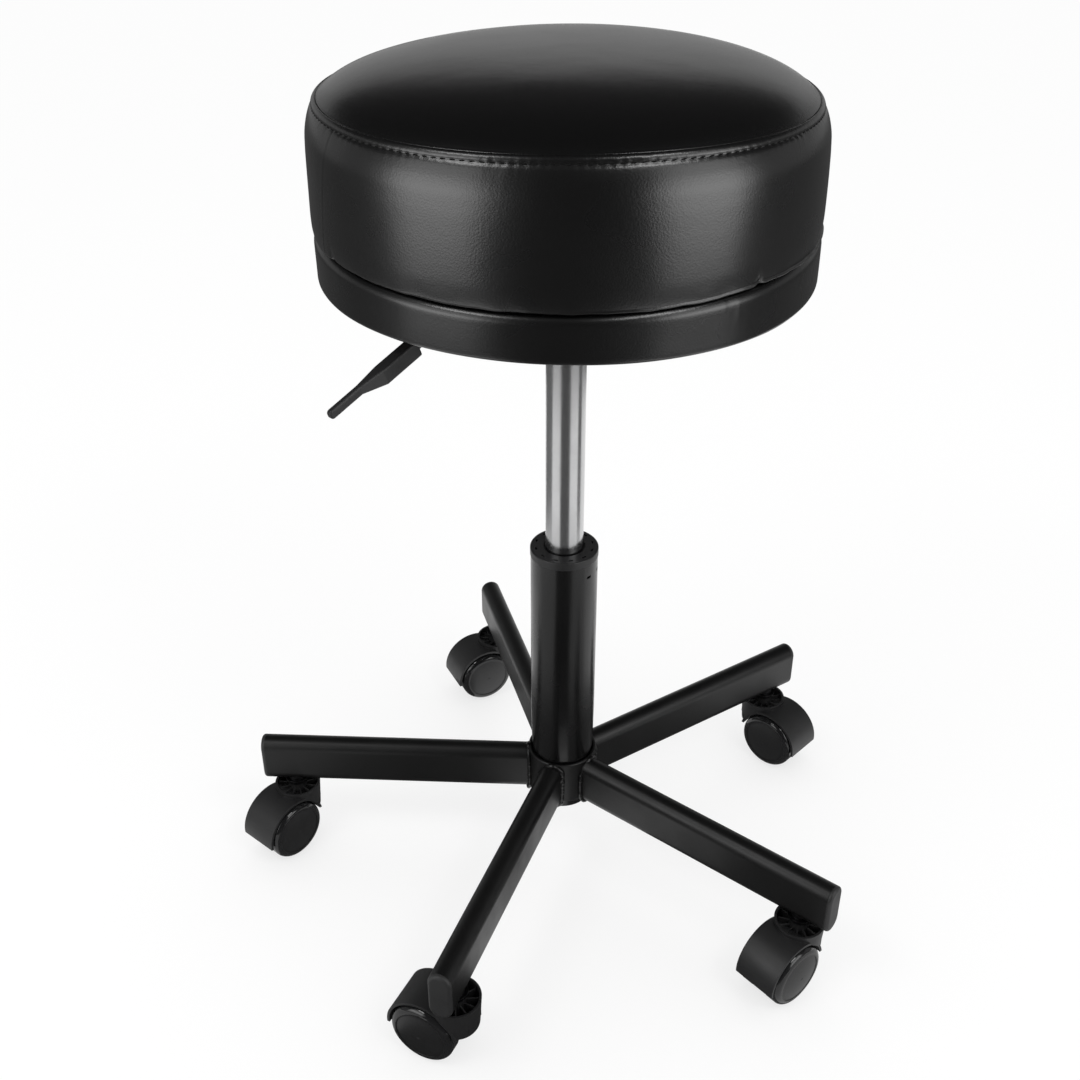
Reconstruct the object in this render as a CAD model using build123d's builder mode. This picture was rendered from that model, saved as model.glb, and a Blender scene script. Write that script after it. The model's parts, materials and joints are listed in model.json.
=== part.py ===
from build123d import *
import os
from math import cos, radians, sin, tan

os.makedirs("parts", exist_ok=True)

# A rolling stool: padded round seat on a gas lift, five welded legs and five hooded
# twin-wheel casters. Millimetres, +Z up, origin on the floor under the column.

# Clearances
running_clearance = 0.06
seat_gap = 0.3
push_fit = 0.05
overrun = 5.0

# Base: hub, legs and their caps
leg_count = 5
leg_first_angle = 180
leg_over_wheels = 13.5
leg_width = 17.5
leg_height = 41.0
leg_wall = 1.5
leg_reach = 244.6
end_cap_length = 3.2
end_cap_round = 2.4
end_cap_plug = 15.0
end_cap_wall = 2.0
hub_radius = 27.2
hub_height = 38.0
hub_over_legs = 1.7
hub_lip = 0.6
hub_groove_width = 0.9
hub_groove_depth = 1.8

# Column and the bushing in its top
column_radius = 25.0
column_wall = 1.8
column_below_legs = 3.5
column_length = 231.5
foot_taper = 1.3
taper_over_hub = 40.0
column_base_thickness = 3.0
column_base_rim = 8.0
staking_drop = 10.5
staking_width = 4.2
staking_depth = 1.9
staking_angles = (-41.8, -11.0, 138.2, 169.0)
bushing_length = 78.0
bushing_flange = 6.2
bushing_overhang = 0.35
bushing_lip_round = 1.0
bushing_wall = 2.2
bushing_groove_width = 1.3
bushing_groove_depth = 1.5
bushing_window_count = 12
bushing_window_angle = 14.0
bushing_window_depth = 3.4
bushing_window_length = 3.6
bushing_window_width = 1.5
bushing_window_radius = 21.3
bushing_rib_count = 6
bushing_rib_thickness = 2.0

# Thrust bearing at the foot of the column
bearing_radius = 12.0
race_thickness = 2.0
ball_radius = 1.65
ball_count = 10
ball_circle = 8.6
ball_play = 0.15
cage_thickness = 2.0
cage_inner = 6.4
cage_outer = 11.2

# Piston rod and what is on it
rod_radius = 5.0
rod_foot_radius = 4.0
rod_foot_reach = 3.6
washer_radius = 9.0
washer_thickness = 1.2
clip_radius = 7.0
clip_thickness = 0.9
clip_groove_depth = 0.8
clip_opening = 5.2
bumper_radius = 10.5
bumper_height = 15.0
piston_height = 15.0
piston_neck_radius = 3.5
piston_ring_depth = 1.6
piston_ring_height = 3.0
piston_clearance = 0.08
rivet_radius = 4.6
rivet_height = 1.4

# Gas cylinder, its valve and the release pin
stroke = 135.0
cylinder_radius = 14.0
cylinder_wall = 1.5
taper_length = 36.0
taper_drop = 0.7
rod_guide_length = 22.0
rod_guide_lip = 1.2
valve_length = 30.0
valve_stand = 1.4
pin_radius = 2.5
pin_length = 26.0

# Seat: the underside of its board sets the height of all that it carries
board_bottom = 547.0
band_height = 29.2
band_radius = 160.6
band_width = 17.6
band_top_round = 4.5
band_bottom_round = 2.2
board_thickness = 12.0
board_radius = 150.0
cloth_thickness = 0.8
cloth_radius = 142.0
cushion_hang = 0.5
cushion_belly_radius = 160.6
cushion_edge_radius = 156.4
cushion_tuck = 3.0
cushion_side_height = 80.9
seam_radius = 152.5
seam_groove = 1.3
stitch_drop = 4.2
stitch_bulge = 2.6
crown_height = 20.7
crown_edge_share = 0.985
crown_rise_share = 0.55
crown_flat_share = 0.75

# Mount plate under the board
plate_thickness = 2.5
plate_side = 150.0
plate_corner = 18.0
pan_length = 98.0
pan_breadth = 58.0
pan_corner = 9.0
pan_depth = 22.0
pan_draft = 8
socket_radius = 17.4
socket_drop = 30.7
socket_above_pan = 2.0
screw_spacing = 120.0
screw_radius = 3.0
screw_head_radius = 5.6
screw_head_height = 3.2
screw_reach = 15.5
tee_nut_radius = 9.5
tee_nut_thickness = 1.3
tee_barrel_radius = 3.9
tee_barrel_length = 9.0

# Release lever
lever_angle = 227.6
lever_over_floor = 11.3
lever_pivot_radius = 32.0
lever_rod_radius = 3.0
lever_tail = 5.0
lever_bend_radius = 40.0
lever_slope = 20.7
lever_bend_round = 16.0
lever_rod_length = 124.0
lever_slot_width = 12.0
pivot_radius = 2.0
pivot_boss_radius = 5.0
pivot_boss_length = 9.0
ear_thickness = 3.0
ear_gap = 1.0
ear_radius = 5.0
paddle_start = 131.0
paddle_end = 197.5
paddle_sleeve_width = 8.4
paddle_sleeve_height = 11.0
paddle_blade_width = 4.0
paddle_blade_height = 6.0
paddle_sleeve_share = 0.41
paddle_step_share = 0.24
paddle_tip_round = 2.4
paddle_edge_round = 1.2

# Casters: the hood trails behind its stem
caster_setback = 22.1
caster_trail_angles = (233.0, 156.2, 223.8, 318.3, 208.9)
trail = 19.1
wheel_radius = 25.0
wheel_inner = 7.3
wheel_shoulder = 15.2
wheel_face = 19.7
wheel_face_radius = 19.3
wheel_dome = 2.0
shoulder_out_share = 0.78
shoulder_up_share = 0.62
wheel_face_step = 0.3
wheel_rim_thickness = 3.2
wheel_disc_thickness = 2.4
wheel_boss_radius = 7.0
wheel_rib_count = 5
wheel_rib_thickness = 1.6
axle_radius = 4.0
axle_half_length = 16.5
hood_clearance = 1.5
hood_wall = 2.1
hood_half_width = 17.0
hood_web_half = 6.6
hood_rear_height = 22.7
hood_front_height = 31.0
axle_boss_radius = 8.5
turret_drop = 1.7
turret_radius = 18.7
turret_foot_radius = 17.1
turret_foot_round = 1.6
turret_wall = 1.8
turret_depth = 21.0
turret_rib_count = 12
turret_rib_thickness = 1.0
turret_rib_drop = 3.0
stem_boss_radius = 7.4

# Caster stems and their sockets in the legs
stem_radius = 5.5
stem_pin_radius = 4.7
stem_pin_length = 25.0
stem_collar_radius = 8.0
stem_collar_thickness = 2.6
stem_point = 1.2
socket_sleeve_radius = 7.0
socket_sleeve_length = 33.5
socket_roof = 2.7
socket_flange_radius = 9.5
socket_flange_thickness = 1.6
grip_drop = 7.0
grip_ring_height = 2.0
grip_ring_radius = 6.2
grip_groove_depth = 0.6
grip_ring_opening = 3.0

# Heights and places that follow from the sizes above
leg_bottom = 2 * wheel_radius + leg_over_wheels
leg_top = leg_bottom + leg_height
leg_centre_height = leg_bottom + leg_height / 2
hub_top_height = leg_top + hub_over_legs
hub_bottom = hub_top_height - hub_height
column_taper_top = hub_top_height + taper_over_hub
column_foot = leg_bottom - column_below_legs
column_top = column_foot + column_length
staking_height = column_top - staking_drop
caster_circle = leg_reach - caster_setback
lower_race_bottom = column_foot + column_base_thickness
lower_race_top = lower_race_bottom + race_thickness
ball_height = lower_race_top + ball_radius + ball_play
upper_race_bottom = ball_height + ball_radius + ball_play
upper_race_top = upper_race_bottom + race_thickness
bumper_top = upper_race_top + bumper_height
cylinder_bottom = bumper_top + seat_gap + stroke
rod_guide_top = cylinder_bottom + rod_guide_length
piston_bottom = rod_guide_top + seat_gap
piston_top = piston_bottom + piston_height
cloth_bottom = board_bottom - cloth_thickness
plate_top = cloth_bottom
plate_bottom = plate_top - plate_thickness
pan_floor_top = plate_bottom - pan_depth
pan_floor_bottom = pan_floor_top - plate_thickness
socket_bottom = pan_floor_bottom - socket_drop
cylinder_top = socket_bottom + taper_length
cushion_bottom = board_bottom - cushion_hang
seam_height = cushion_bottom + cushion_side_height
band_top = cushion_bottom - seat_gap
band_bottom = band_top - band_height
lever_axis_height = pan_floor_top + lever_over_floor
pin_top = lever_axis_height - lever_rod_radius - seat_gap
hood_radius = wheel_radius + hood_clearance + hood_wall
wheel_space_radius = wheel_radius + hood_clearance
stem_collar_top = leg_bottom - socket_flange_thickness - seat_gap
stem_collar_bottom = stem_collar_top - stem_collar_thickness
stem_boss_top = stem_collar_bottom - seat_gap
stem_pin_foot = stem_collar_bottom - stem_pin_length
socket_sleeve_top = leg_bottom + socket_sleeve_length
stem_top_height = socket_sleeve_top - socket_roof - seat_gap
grip_height = stem_top_height - grip_drop
turret_top = stem_boss_top - turret_drop
turret_floor = turret_top - turret_depth


def save(part, name):
    """Label a finished part and write it as one STEP file."""
    part.label = name
    export_step(part, "parts/" + name + ".step")


def leg_place(index, height=0, radius=0):
    """A frame on leg `index`: X along the leg, Z up."""
    angle = leg_first_angle + index * 360 / leg_count
    across = radians(angle)
    return Location((radius * cos(across), radius * sin(across), height), (0, 0, angle))


def column_outside(height):
    """Outer radius of the column, which tapers towards its foot."""
    down_share = (column_taper_top - height) / (column_taper_top - column_foot)
    return column_radius - foot_taper * max(0, down_share)


def ring(inner, outer, bottom, top):
    """A plain ring about the column axis."""
    with BuildPart() as body:
        with BuildSketch(Plane.XY.offset(bottom)):
            Circle(outer)
            Circle(inner, mode=Mode.SUBTRACT)
        extrude(amount=top - bottom)
    return body.part


# Hub: a short collar with a tapered bore that holds the foot of the column, grooved at its top
with BuildPart() as hub:
    with BuildSketch(Plane.XZ):
        groove_foot = hub_top_height - hub_groove_depth
        with BuildLine():
            Polyline(
                (column_outside(hub_bottom) + push_fit, hub_bottom),
                (hub_radius, hub_bottom),
                (hub_radius, hub_top_height),
                (column_outside(hub_top_height) + hub_groove_width, hub_top_height),
                (column_outside(groove_foot) + push_fit, groove_foot),
                close=True,
            )
        make_face()
    revolve(axis=Axis.Z)
    upper_rim = hub.edges().filter_by(GeomType.CIRCLE).group_by(Axis.Z)[-1]
    chamfer(upper_rim.sort_by(SortBy.RADIUS)[-1], hub_lip)
save(hub.part, "hub")

# Legs: oval tubes, level, cut to the hub at one end
with BuildPart() as leg:
    with BuildSketch(Plane.YZ.offset(hub_radius / 2)):
        with Locations((0, leg_centre_height)):
            SlotOverall(leg_height, leg_width, rotation=90)
            SlotOverall(
                leg_height - 2 * leg_wall,
                leg_width - 2 * leg_wall,
                rotation=90,
                mode=Mode.SUBTRACT,
            )
    extrude(amount=leg_reach - hub_radius / 2)
    with BuildSketch(Plane.XY.offset(leg_bottom - overrun)):
        Circle(hub_radius + push_fit)
    extrude(amount=leg_height + 2 * overrun, mode=Mode.SUBTRACT)
    with BuildSketch(Plane.XY.offset(leg_bottom - overrun)):
        with Locations((caster_circle, 0)):
            Circle(socket_sleeve_radius + push_fit)
    extrude(amount=leg_height / 2 + overrun, mode=Mode.SUBTRACT)

for index in range(leg_count):
    with BuildPart() as placed_leg:
        with Locations(leg_place(index)):
            add(leg.part)
    save(placed_leg.part, f"leg_{index + 1}")

# End caps: a rounded end with a hollow plug that fits inside the tube
with BuildPart() as end_cap:
    with BuildSketch(Plane.YZ.offset(leg_reach + push_fit)):
        with Locations((0, leg_centre_height)):
            SlotOverall(leg_height, leg_width, rotation=90)
    extrude(amount=end_cap_length)
    fillet(end_cap.faces().sort_by(Axis.X)[-1].edges(), end_cap_round)
    with BuildSketch(Plane.YZ.offset(leg_reach + push_fit)):
        with Locations((0, leg_centre_height)):
            plug_inset = leg_wall + push_fit
            SlotOverall(leg_height - 2 * plug_inset, leg_width - 2 * plug_inset, rotation=90)
            plug_inset = leg_wall + end_cap_wall
            SlotOverall(
                leg_height - 2 * plug_inset,
                leg_width - 2 * plug_inset,
                rotation=90,
                mode=Mode.SUBTRACT,
            )
    extrude(amount=-end_cap_plug)
    # The plug's end stops short of the stem socket
    with BuildSketch(Plane.XY.offset(leg_bottom)):
        with Locations((caster_circle, 0)):
            Circle(socket_sleeve_radius + seat_gap)
    extrude(amount=leg_height, mode=Mode.SUBTRACT)

with BuildPart() as leg_end_caps:
    for index in range(leg_count):
        with Locations(leg_place(index)):
            add(end_cap.part)
save(leg_end_caps.part, "leg_end_caps")

# Stem sockets: flanged sleeves with a blind bore and a groove for the grip ring
with BuildPart() as stem_socket:
    with BuildSketch(Plane.XZ):
        bore = stem_radius + push_fit
        ring_seat = grip_ring_radius + push_fit
        seat_low = grip_height - push_fit
        seat_high = grip_height + grip_ring_height + push_fit
        flange_bottom = leg_bottom - socket_flange_thickness
        blind_top = stem_top_height + seat_gap
        with BuildLine():
            Polyline(
                (bore, flange_bottom),
                (socket_flange_radius, flange_bottom),
                (socket_flange_radius, leg_bottom - push_fit),
                (socket_sleeve_radius, leg_bottom - push_fit),
                (socket_sleeve_radius, socket_sleeve_top),
                (0, socket_sleeve_top),
                (0, blind_top),
                (bore, blind_top),
                (bore, seat_high),
                (ring_seat, seat_high),
                (ring_seat, seat_low),
                (bore, seat_low),
                close=True,
            )
        make_face()
    revolve(axis=Axis.Z)

with BuildPart() as stem_sockets:
    for index in range(leg_count):
        with Locations(leg_place(index, radius=caster_circle)):
            add(stem_socket.part)
save(stem_sockets.part, "stem_sockets")

# Caster stems: grip end, collar and the pin that the hood turns on
with BuildPart() as caster_stem:
    with BuildSketch(Plane.XZ):
        groove_low = grip_height - push_fit
        groove_high = grip_height + grip_ring_height + push_fit
        groove_radius = stem_radius - grip_groove_depth
        with BuildLine():
            Polyline(
                (0, stem_pin_foot),
                (stem_pin_radius - stem_point, stem_pin_foot),
                (stem_pin_radius, stem_pin_foot + stem_point),
                (stem_pin_radius, stem_collar_bottom),
                (stem_collar_radius, stem_collar_bottom),
                (stem_collar_radius, stem_collar_top),
                (stem_radius, stem_collar_top),
                (stem_radius, groove_low),
                (groove_radius, groove_low),
                (groove_radius, groove_high),
                (stem_radius, groove_high),
                (stem_radius, stem_top_height - stem_point),
                (stem_radius - stem_point, stem_top_height),
                (0, stem_top_height),
                close=True,
            )
        make_face()
    revolve(axis=Axis.Z)

with BuildPart() as caster_stems:
    for index in range(leg_count):
        with Locations(leg_place(index, radius=caster_circle)):
            add(caster_stem.part)
save(caster_stems.part, "caster_stems")

# Grip rings: split spring rings that hold the stems in their sockets
with BuildPart() as grip_ring:
    with BuildSketch(Plane.XY.offset(grip_height)):
        Circle(grip_ring_radius)
        Circle(stem_radius - grip_groove_depth + push_fit, mode=Mode.SUBTRACT)
        with Locations((grip_ring_radius, 0)):
            Rectangle(2 * grip_ring_radius, grip_ring_opening, mode=Mode.SUBTRACT)
    extrude(amount=grip_ring_height)

with BuildPart() as grip_rings:
    for index in range(leg_count):
        with Locations(leg_place(index, radius=caster_circle)):
            add(grip_ring.part)
save(grip_rings.part, "grip_rings")

# Outer column: tube with a tapered foot and four staking slots near the top
with BuildPart() as outer_column:
    with BuildSketch(Plane.XZ):
        foot_outside = column_outside(column_foot)
        with BuildLine():
            Polyline(
                (foot_outside - column_wall, column_foot),
                (foot_outside, column_foot),
                (column_radius, column_taper_top),
                (column_radius, column_top),
                (column_radius - column_wall, column_top),
                (column_radius - column_wall, column_taper_top),
                close=True,
            )
        make_face()
    revolve(axis=Axis.Z)
    for angle in staking_angles:
        across = radians(angle)
        slot_plane = Plane(
            origin=(0, 0, staking_height),
            x_dir=(-sin(across), cos(across), 0),
            z_dir=(cos(across), sin(across), 0),
        )
        with BuildSketch(slot_plane.offset(column_radius - column_wall - push_fit)):
            SlotOverall(staking_width, staking_depth)
        extrude(amount=column_wall + overrun, mode=Mode.SUBTRACT)
save(outer_column.part, "outer_column")

# Column base: pressed disc with a turned-up rim, which carries the bearing
with BuildPart() as column_base:
    with BuildSketch(Plane.XZ):
        rim_outside = column_outside(column_foot) - column_wall - push_fit
        base_top = column_foot + column_base_thickness
        rim_inside = rim_outside - column_base_thickness / 2
        with BuildLine():
            Polyline(
                (rod_foot_radius + running_clearance, column_foot),
                (rim_outside, column_foot),
                (rim_outside, column_foot + column_base_rim),
                (rim_inside, column_foot + column_base_rim),
                (rim_inside, base_top),
                (rod_foot_radius + running_clearance, base_top),
                close=True,
            )
        make_face()
    revolve(axis=Axis.Z)
save(column_base.part, "column_base")

# Guide bushing: inner and outer sleeves joined by ribs, under a windowed flange
bushing_bore = cylinder_radius + running_clearance
bushing_outside = column_radius - column_wall - push_fit
bushing_bottom = column_top - bushing_length
flange_top = column_top + bushing_flange
with BuildPart() as guide_bushing:
    with BuildSketch(Plane.XY.offset(bushing_bottom)):
        Circle(bushing_outside)
        Circle(bushing_outside - bushing_wall, mode=Mode.SUBTRACT)
        Circle(bushing_bore + bushing_wall)
        Circle(bushing_bore, mode=Mode.SUBTRACT)
        with PolarLocations((bushing_bore + bushing_outside) / 2, bushing_rib_count):
            Rectangle(bushing_outside - bushing_bore - bushing_wall, bushing_rib_thickness)
    extrude(amount=bushing_length)
    with BuildSketch(Plane.XY.offset(column_top)):
        Circle(column_radius + bushing_overhang)
        Circle(bushing_bore, mode=Mode.SUBTRACT)
    extrude(amount=bushing_flange)
    flange_edge = guide_bushing.edges().filter_by(GeomType.CIRCLE).group_by(Axis.Z)[-1]
    fillet(flange_edge.sort_by(SortBy.RADIUS)[-1], bushing_lip_round)
    with BuildSketch(Plane.XY.offset(flange_top - bushing_groove_depth)):
        Circle(bushing_bore + bushing_groove_width)
        Circle(bushing_bore, mode=Mode.SUBTRACT)
    extrude(amount=bushing_groove_depth + overrun, mode=Mode.SUBTRACT)
    with BuildSketch(Plane.XY.offset(flange_top)):
        with PolarLocations(bushing_window_radius, bushing_window_count, bushing_window_angle):
            Rectangle(bushing_window_width, bushing_window_length)
    extrude(amount=-bushing_window_depth, mode=Mode.SUBTRACT)
save(guide_bushing.part, "guide_bushing")

# Thrust bearing
race_bore = rod_foot_radius + running_clearance
save(ring(race_bore, bearing_radius, lower_race_bottom, lower_race_top), "lower_race")
save(ring(race_bore, bearing_radius, upper_race_bottom, upper_race_top), "upper_race")

with BuildPart() as bearing_balls:
    with Locations((0, 0, ball_height)):
        with PolarLocations(ball_circle, ball_count):
            Sphere(ball_radius)
save(bearing_balls.part, "bearing_balls")

with BuildPart() as ball_cage:
    with BuildSketch(Plane.XY.offset(ball_height - cage_thickness / 2)):
        Circle(cage_outer)
        Circle(cage_inner, mode=Mode.SUBTRACT)
        with PolarLocations(ball_circle, ball_count):
            Circle(ball_radius + push_fit, mode=Mode.SUBTRACT)
    extrude(amount=cage_thickness)
save(ball_cage.part, "ball_cage")

# Piston rod: stepped at the foot, with a neck and a rivet head for the piston
washer_top = column_foot - seat_gap
washer_bottom = washer_top - washer_thickness
clip_top = washer_bottom - push_fit
clip_bottom = clip_top - clip_thickness
rod_foot = column_foot - rod_foot_reach - clip_thickness
with BuildPart() as piston_rod:
    with BuildSketch(Plane.XZ):
        groove = rod_foot_radius - clip_groove_depth
        with BuildLine():
            Polyline(
                (0, rod_foot),
                (rod_foot_radius, rod_foot),
                (rod_foot_radius, clip_bottom - push_fit),
                (groove, clip_bottom - push_fit),
                (groove, clip_top + push_fit),
                (rod_foot_radius, clip_top + push_fit),
                (rod_foot_radius, upper_race_top),
                (rod_radius, upper_race_top),
                (rod_radius, piston_bottom),
                (piston_neck_radius, piston_bottom),
                (piston_neck_radius, piston_top),
                (rivet_radius, piston_top),
                (rivet_radius, piston_top + rivet_height),
                (0, piston_top + rivet_height),
                close=True,
            )
        make_face()
    revolve(axis=Axis.Z)
save(piston_rod.part, "piston_rod")

with BuildPart() as piston_head:
    with BuildSketch(Plane.XZ):
        piston_outside = cylinder_radius - cylinder_wall - piston_clearance
        seal_low = (piston_bottom + piston_top - piston_ring_height) / 2
        seal_high = seal_low + piston_ring_height
        with BuildLine():
            Polyline(
                (piston_neck_radius, piston_bottom),
                (piston_outside, piston_bottom),
                (piston_outside, seal_low),
                (piston_outside - piston_ring_depth, seal_low),
                (piston_outside - piston_ring_depth, seal_high),
                (piston_outside, seal_high),
                (piston_outside, piston_top),
                (piston_neck_radius, piston_top),
                close=True,
            )
        make_face()
    revolve(axis=Axis.Z)
save(piston_head.part, "piston_head")

save(ring(rod_radius + push_fit, bumper_radius, upper_race_top, bumper_top), "rubber_bumper")
save(ring(rod_foot_radius + push_fit, washer_radius, washer_bottom, washer_top), "rod_washer")

with BuildPart() as retaining_clip:
    with BuildSketch(Plane.XY.offset(clip_bottom)):
        Circle(clip_radius)
        Circle(rod_foot_radius - clip_groove_depth + push_fit, mode=Mode.SUBTRACT)
        with Locations((clip_radius, 0)):
            Rectangle(2 * clip_radius, clip_opening, mode=Mode.SUBTRACT)
    extrude(amount=clip_thickness)
save(retaining_clip.part, "retaining_clip")

# Gas cylinder: bright tube, open at the foot, with a tapered top
taper_top_radius = cylinder_radius - taper_drop
bore_radius = cylinder_radius - cylinder_wall
valve_bottom = cylinder_top - valve_length
with BuildPart() as gas_cylinder:
    with BuildSketch(Plane.XZ):
        with BuildLine():
            Polyline(
                (bore_radius, cylinder_bottom),
                (cylinder_radius, cylinder_bottom),
                (cylinder_radius, socket_bottom),
                (taper_top_radius, cylinder_top),
                (bore_radius - taper_drop, cylinder_top),
                (bore_radius - taper_drop, valve_bottom),
                (bore_radius, valve_bottom),
                close=True,
            )
        make_face()
    revolve(axis=Axis.Z)
save(gas_cylinder.part, "gas_cylinder")

with BuildPart() as rod_guide:
    with BuildSketch(Plane.XZ):
        guide_bore = rod_radius + running_clearance
        guide_outside = bore_radius - push_fit
        with BuildLine():
            Polyline(
                (guide_bore + rod_guide_lip, cylinder_bottom),
                (guide_outside, cylinder_bottom),
                (guide_outside, rod_guide_top),
                (guide_bore, rod_guide_top),
                (guide_bore, cylinder_bottom + rod_guide_lip),
                close=True,
            )
        make_face()
    revolve(axis=Axis.Z)
save(rod_guide.part, "rod_guide")

valve_radius = bore_radius - taper_drop - push_fit
valve_top = cylinder_top + valve_stand
with BuildPart() as valve_body:
    with BuildSketch(Plane.XY.offset(valve_bottom)):
        Circle(valve_radius)
    extrude(amount=valve_top - valve_bottom)
    with BuildSketch(Plane.XY.offset(pin_top - pin_length - pin_radius * 2)):
        Circle(pin_radius + running_clearance)
    extrude(amount=pin_length + overrun, mode=Mode.SUBTRACT)
    chamfer(valve_body.edges().group_by(Axis.Z)[-1].sort_by(SortBy.RADIUS)[-1], valve_stand / 2)
save(valve_body.part, "valve_body")

with BuildPart() as release_pin:
    with BuildSketch(Plane.XY.offset(pin_top - pin_length)):
        Circle(pin_radius)
    extrude(amount=pin_length)
    chamfer(release_pin.edges().group_by(Axis.Z)[-1], pin_radius / 4)
save(release_pin.part, "release_pin")

# Mount plate: flange, drawn pan, taper socket and the two ears of the lever
lever_frame = Plane.XY.rotated((0, 0, lever_angle))
socket_foot_bore = cylinder_radius + push_fit
socket_head_height = pan_floor_top + socket_above_pan
socket_head_share = (socket_head_height - socket_bottom) / taper_length
socket_head_bore = cylinder_radius - taper_drop * socket_head_share + push_fit
lever_side_plane = Plane(
    origin=(0, 0, 0),
    x_dir=(cos(radians(lever_angle)), sin(radians(lever_angle)), 0),
    z_dir=(sin(radians(lever_angle)), -cos(radians(lever_angle)), 0),
)
ear_reach = pivot_boss_length / 2 + ear_gap
pan_taper_run = (pan_depth + plate_thickness) * tan(radians(pan_draft))
with BuildPart() as seat_mount_plate:
    with BuildSketch(lever_frame.offset(plate_top)):
        RectangleRounded(plate_side, plate_side, plate_corner)
    extrude(amount=-plate_thickness)
    with BuildSketch(lever_frame.offset(plate_top)):
        RectangleRounded(pan_length, pan_breadth, pan_corner)
    extrude(amount=-(plate_top - pan_floor_bottom), taper=pan_draft)
    with BuildSketch(lever_frame.offset(plate_top)):
        inner_corner = pan_corner - plate_thickness
        inner_length = pan_length - 2 * plate_thickness
        RectangleRounded(inner_length, pan_breadth - 2 * plate_thickness, inner_corner)
    extrude(amount=-(plate_top - pan_floor_top), taper=pan_draft, mode=Mode.SUBTRACT)
    with BuildSketch(Plane.XY.offset(socket_bottom)):
        Circle(socket_radius)
    extrude(amount=socket_head_height - socket_bottom)
    with BuildSketch(Plane.XZ):
        with BuildLine():
            Polyline(
                (0, socket_bottom - overrun),
                (socket_foot_bore, socket_bottom - overrun),
                (socket_foot_bore, socket_bottom),
                (socket_head_bore, socket_head_height),
                (socket_head_bore, socket_head_height + overrun),
                (0, socket_head_height + overrun),
                close=True,
            )
        make_face()
    revolve(axis=Axis.Z, mode=Mode.SUBTRACT)
    # Ears that hold the pivot pin
    for side in (-1, 1):
        ear_near = side * ear_reach
        with BuildSketch(lever_side_plane.offset(ear_near)):
            with Locations((lever_pivot_radius, lever_axis_height)):
                Circle(ear_radius)
            with Locations((lever_pivot_radius, (lever_axis_height + pan_floor_top) / 2)):
                Rectangle(2 * ear_radius, lever_axis_height - pan_floor_top)
            with Locations((lever_pivot_radius, lever_axis_height)):
                Circle(pivot_radius + push_fit, mode=Mode.SUBTRACT)
        extrude(amount=side * ear_thickness)
    # Slot in the pan's outer wall for the lever
    with BuildSketch(lever_side_plane):
        with Locations((pan_length / 2, (pan_floor_top + plate_bottom) / 2 - seat_gap)):
            Rectangle(4 * pan_taper_run, pan_depth - 2 * seat_gap)
    extrude(amount=lever_slot_width / 2, both=True, mode=Mode.SUBTRACT)
    # Screw holes in the flange
    with BuildSketch(lever_frame.offset(plate_top)):
        with GridLocations(screw_spacing, screw_spacing, 2, 2):
            Circle(screw_radius + seat_gap)
    extrude(amount=-plate_thickness, mode=Mode.SUBTRACT)
save(seat_mount_plate.part, "seat_mount_plate")

pin_half_length = ear_reach + ear_thickness + ear_gap
with BuildPart() as lever_pin:
    with BuildSketch(lever_side_plane.offset(-pin_half_length)):
        with Locations((lever_pivot_radius, lever_axis_height)):
            Circle(pivot_radius)
    extrude(amount=2 * pin_half_length)
save(lever_pin.part, "lever_pin")

# Screws from below, through flange and cloth, into tee nuts in the board
with BuildPart() as mount_screws:
    with BuildSketch(lever_frame.offset(plate_bottom)):
        with GridLocations(screw_spacing, screw_spacing, 2, 2):
            RegularPolygon(screw_head_radius, 6)
    extrude(amount=-screw_head_height)
    with BuildSketch(lever_frame.offset(plate_bottom)):
        with GridLocations(screw_spacing, screw_spacing, 2, 2):
            Circle(screw_radius)
    extrude(amount=screw_reach)
save(mount_screws.part, "mount_screws")

board_top = board_bottom + board_thickness
with BuildPart() as tee_nuts:
    with BuildSketch(lever_frame.offset(board_top)):
        with GridLocations(screw_spacing, screw_spacing, 2, 2):
            Circle(tee_nut_radius)
    extrude(amount=tee_nut_thickness)
    with BuildSketch(lever_frame.offset(board_top)):
        with GridLocations(screw_spacing, screw_spacing, 2, 2):
            Circle(tee_barrel_radius)
    extrude(amount=-tee_barrel_length)
    with BuildSketch(lever_frame.offset(board_top - tee_barrel_length)):
        with GridLocations(screw_spacing, screw_spacing, 2, 2):
            Circle(screw_radius + push_fit)
    extrude(amount=tee_barrel_length + tee_nut_thickness, mode=Mode.SUBTRACT)
save(tee_nuts.part, "tee_nuts")

with BuildPart() as seat_board:
    with BuildSketch(Plane.XY.offset(board_bottom)):
        Circle(board_radius)
        with Locations(Location((0, 0, 0), (0, 0, lever_angle))):
            with GridLocations(screw_spacing, screw_spacing, 2, 2):
                Circle(tee_barrel_radius + push_fit, mode=Mode.SUBTRACT)
    extrude(amount=board_thickness)
save(seat_board.part, "seat_board")

with BuildPart() as dust_cover:
    with BuildSketch(Plane.XY.offset(cloth_bottom)):
        Circle(cloth_radius)
        with Locations(Location((0, 0, 0), (0, 0, lever_angle))):
            with GridLocations(screw_spacing, screw_spacing, 2, 2):
                Circle(screw_radius + seat_gap, mode=Mode.SUBTRACT)
    extrude(amount=cloth_thickness)
save(dust_cover.part, "dust_cover")

# Seat band: padded ring under the rim of the board, rounded at its top edge
with BuildPart() as seat_band:
    with BuildSketch(Plane.XZ):
        with BuildLine():
            Polyline(
                (band_radius - band_width, band_bottom),
                (band_radius, band_bottom),
                (band_radius, band_top),
                (band_radius - band_width, band_top),
                close=True,
            )
        make_face()
    revolve(axis=Axis.Z)
    outer_edges = seat_band.edges().filter_by(GeomType.CIRCLE).group_by(SortBy.RADIUS)[-1]
    fillet(outer_edges.sort_by(Axis.Z)[-1], band_top_round)
    fillet(outer_edges.sort_by(Axis.Z)[0], band_bottom_round)
save(seat_band.part, "seat_band")

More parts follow.
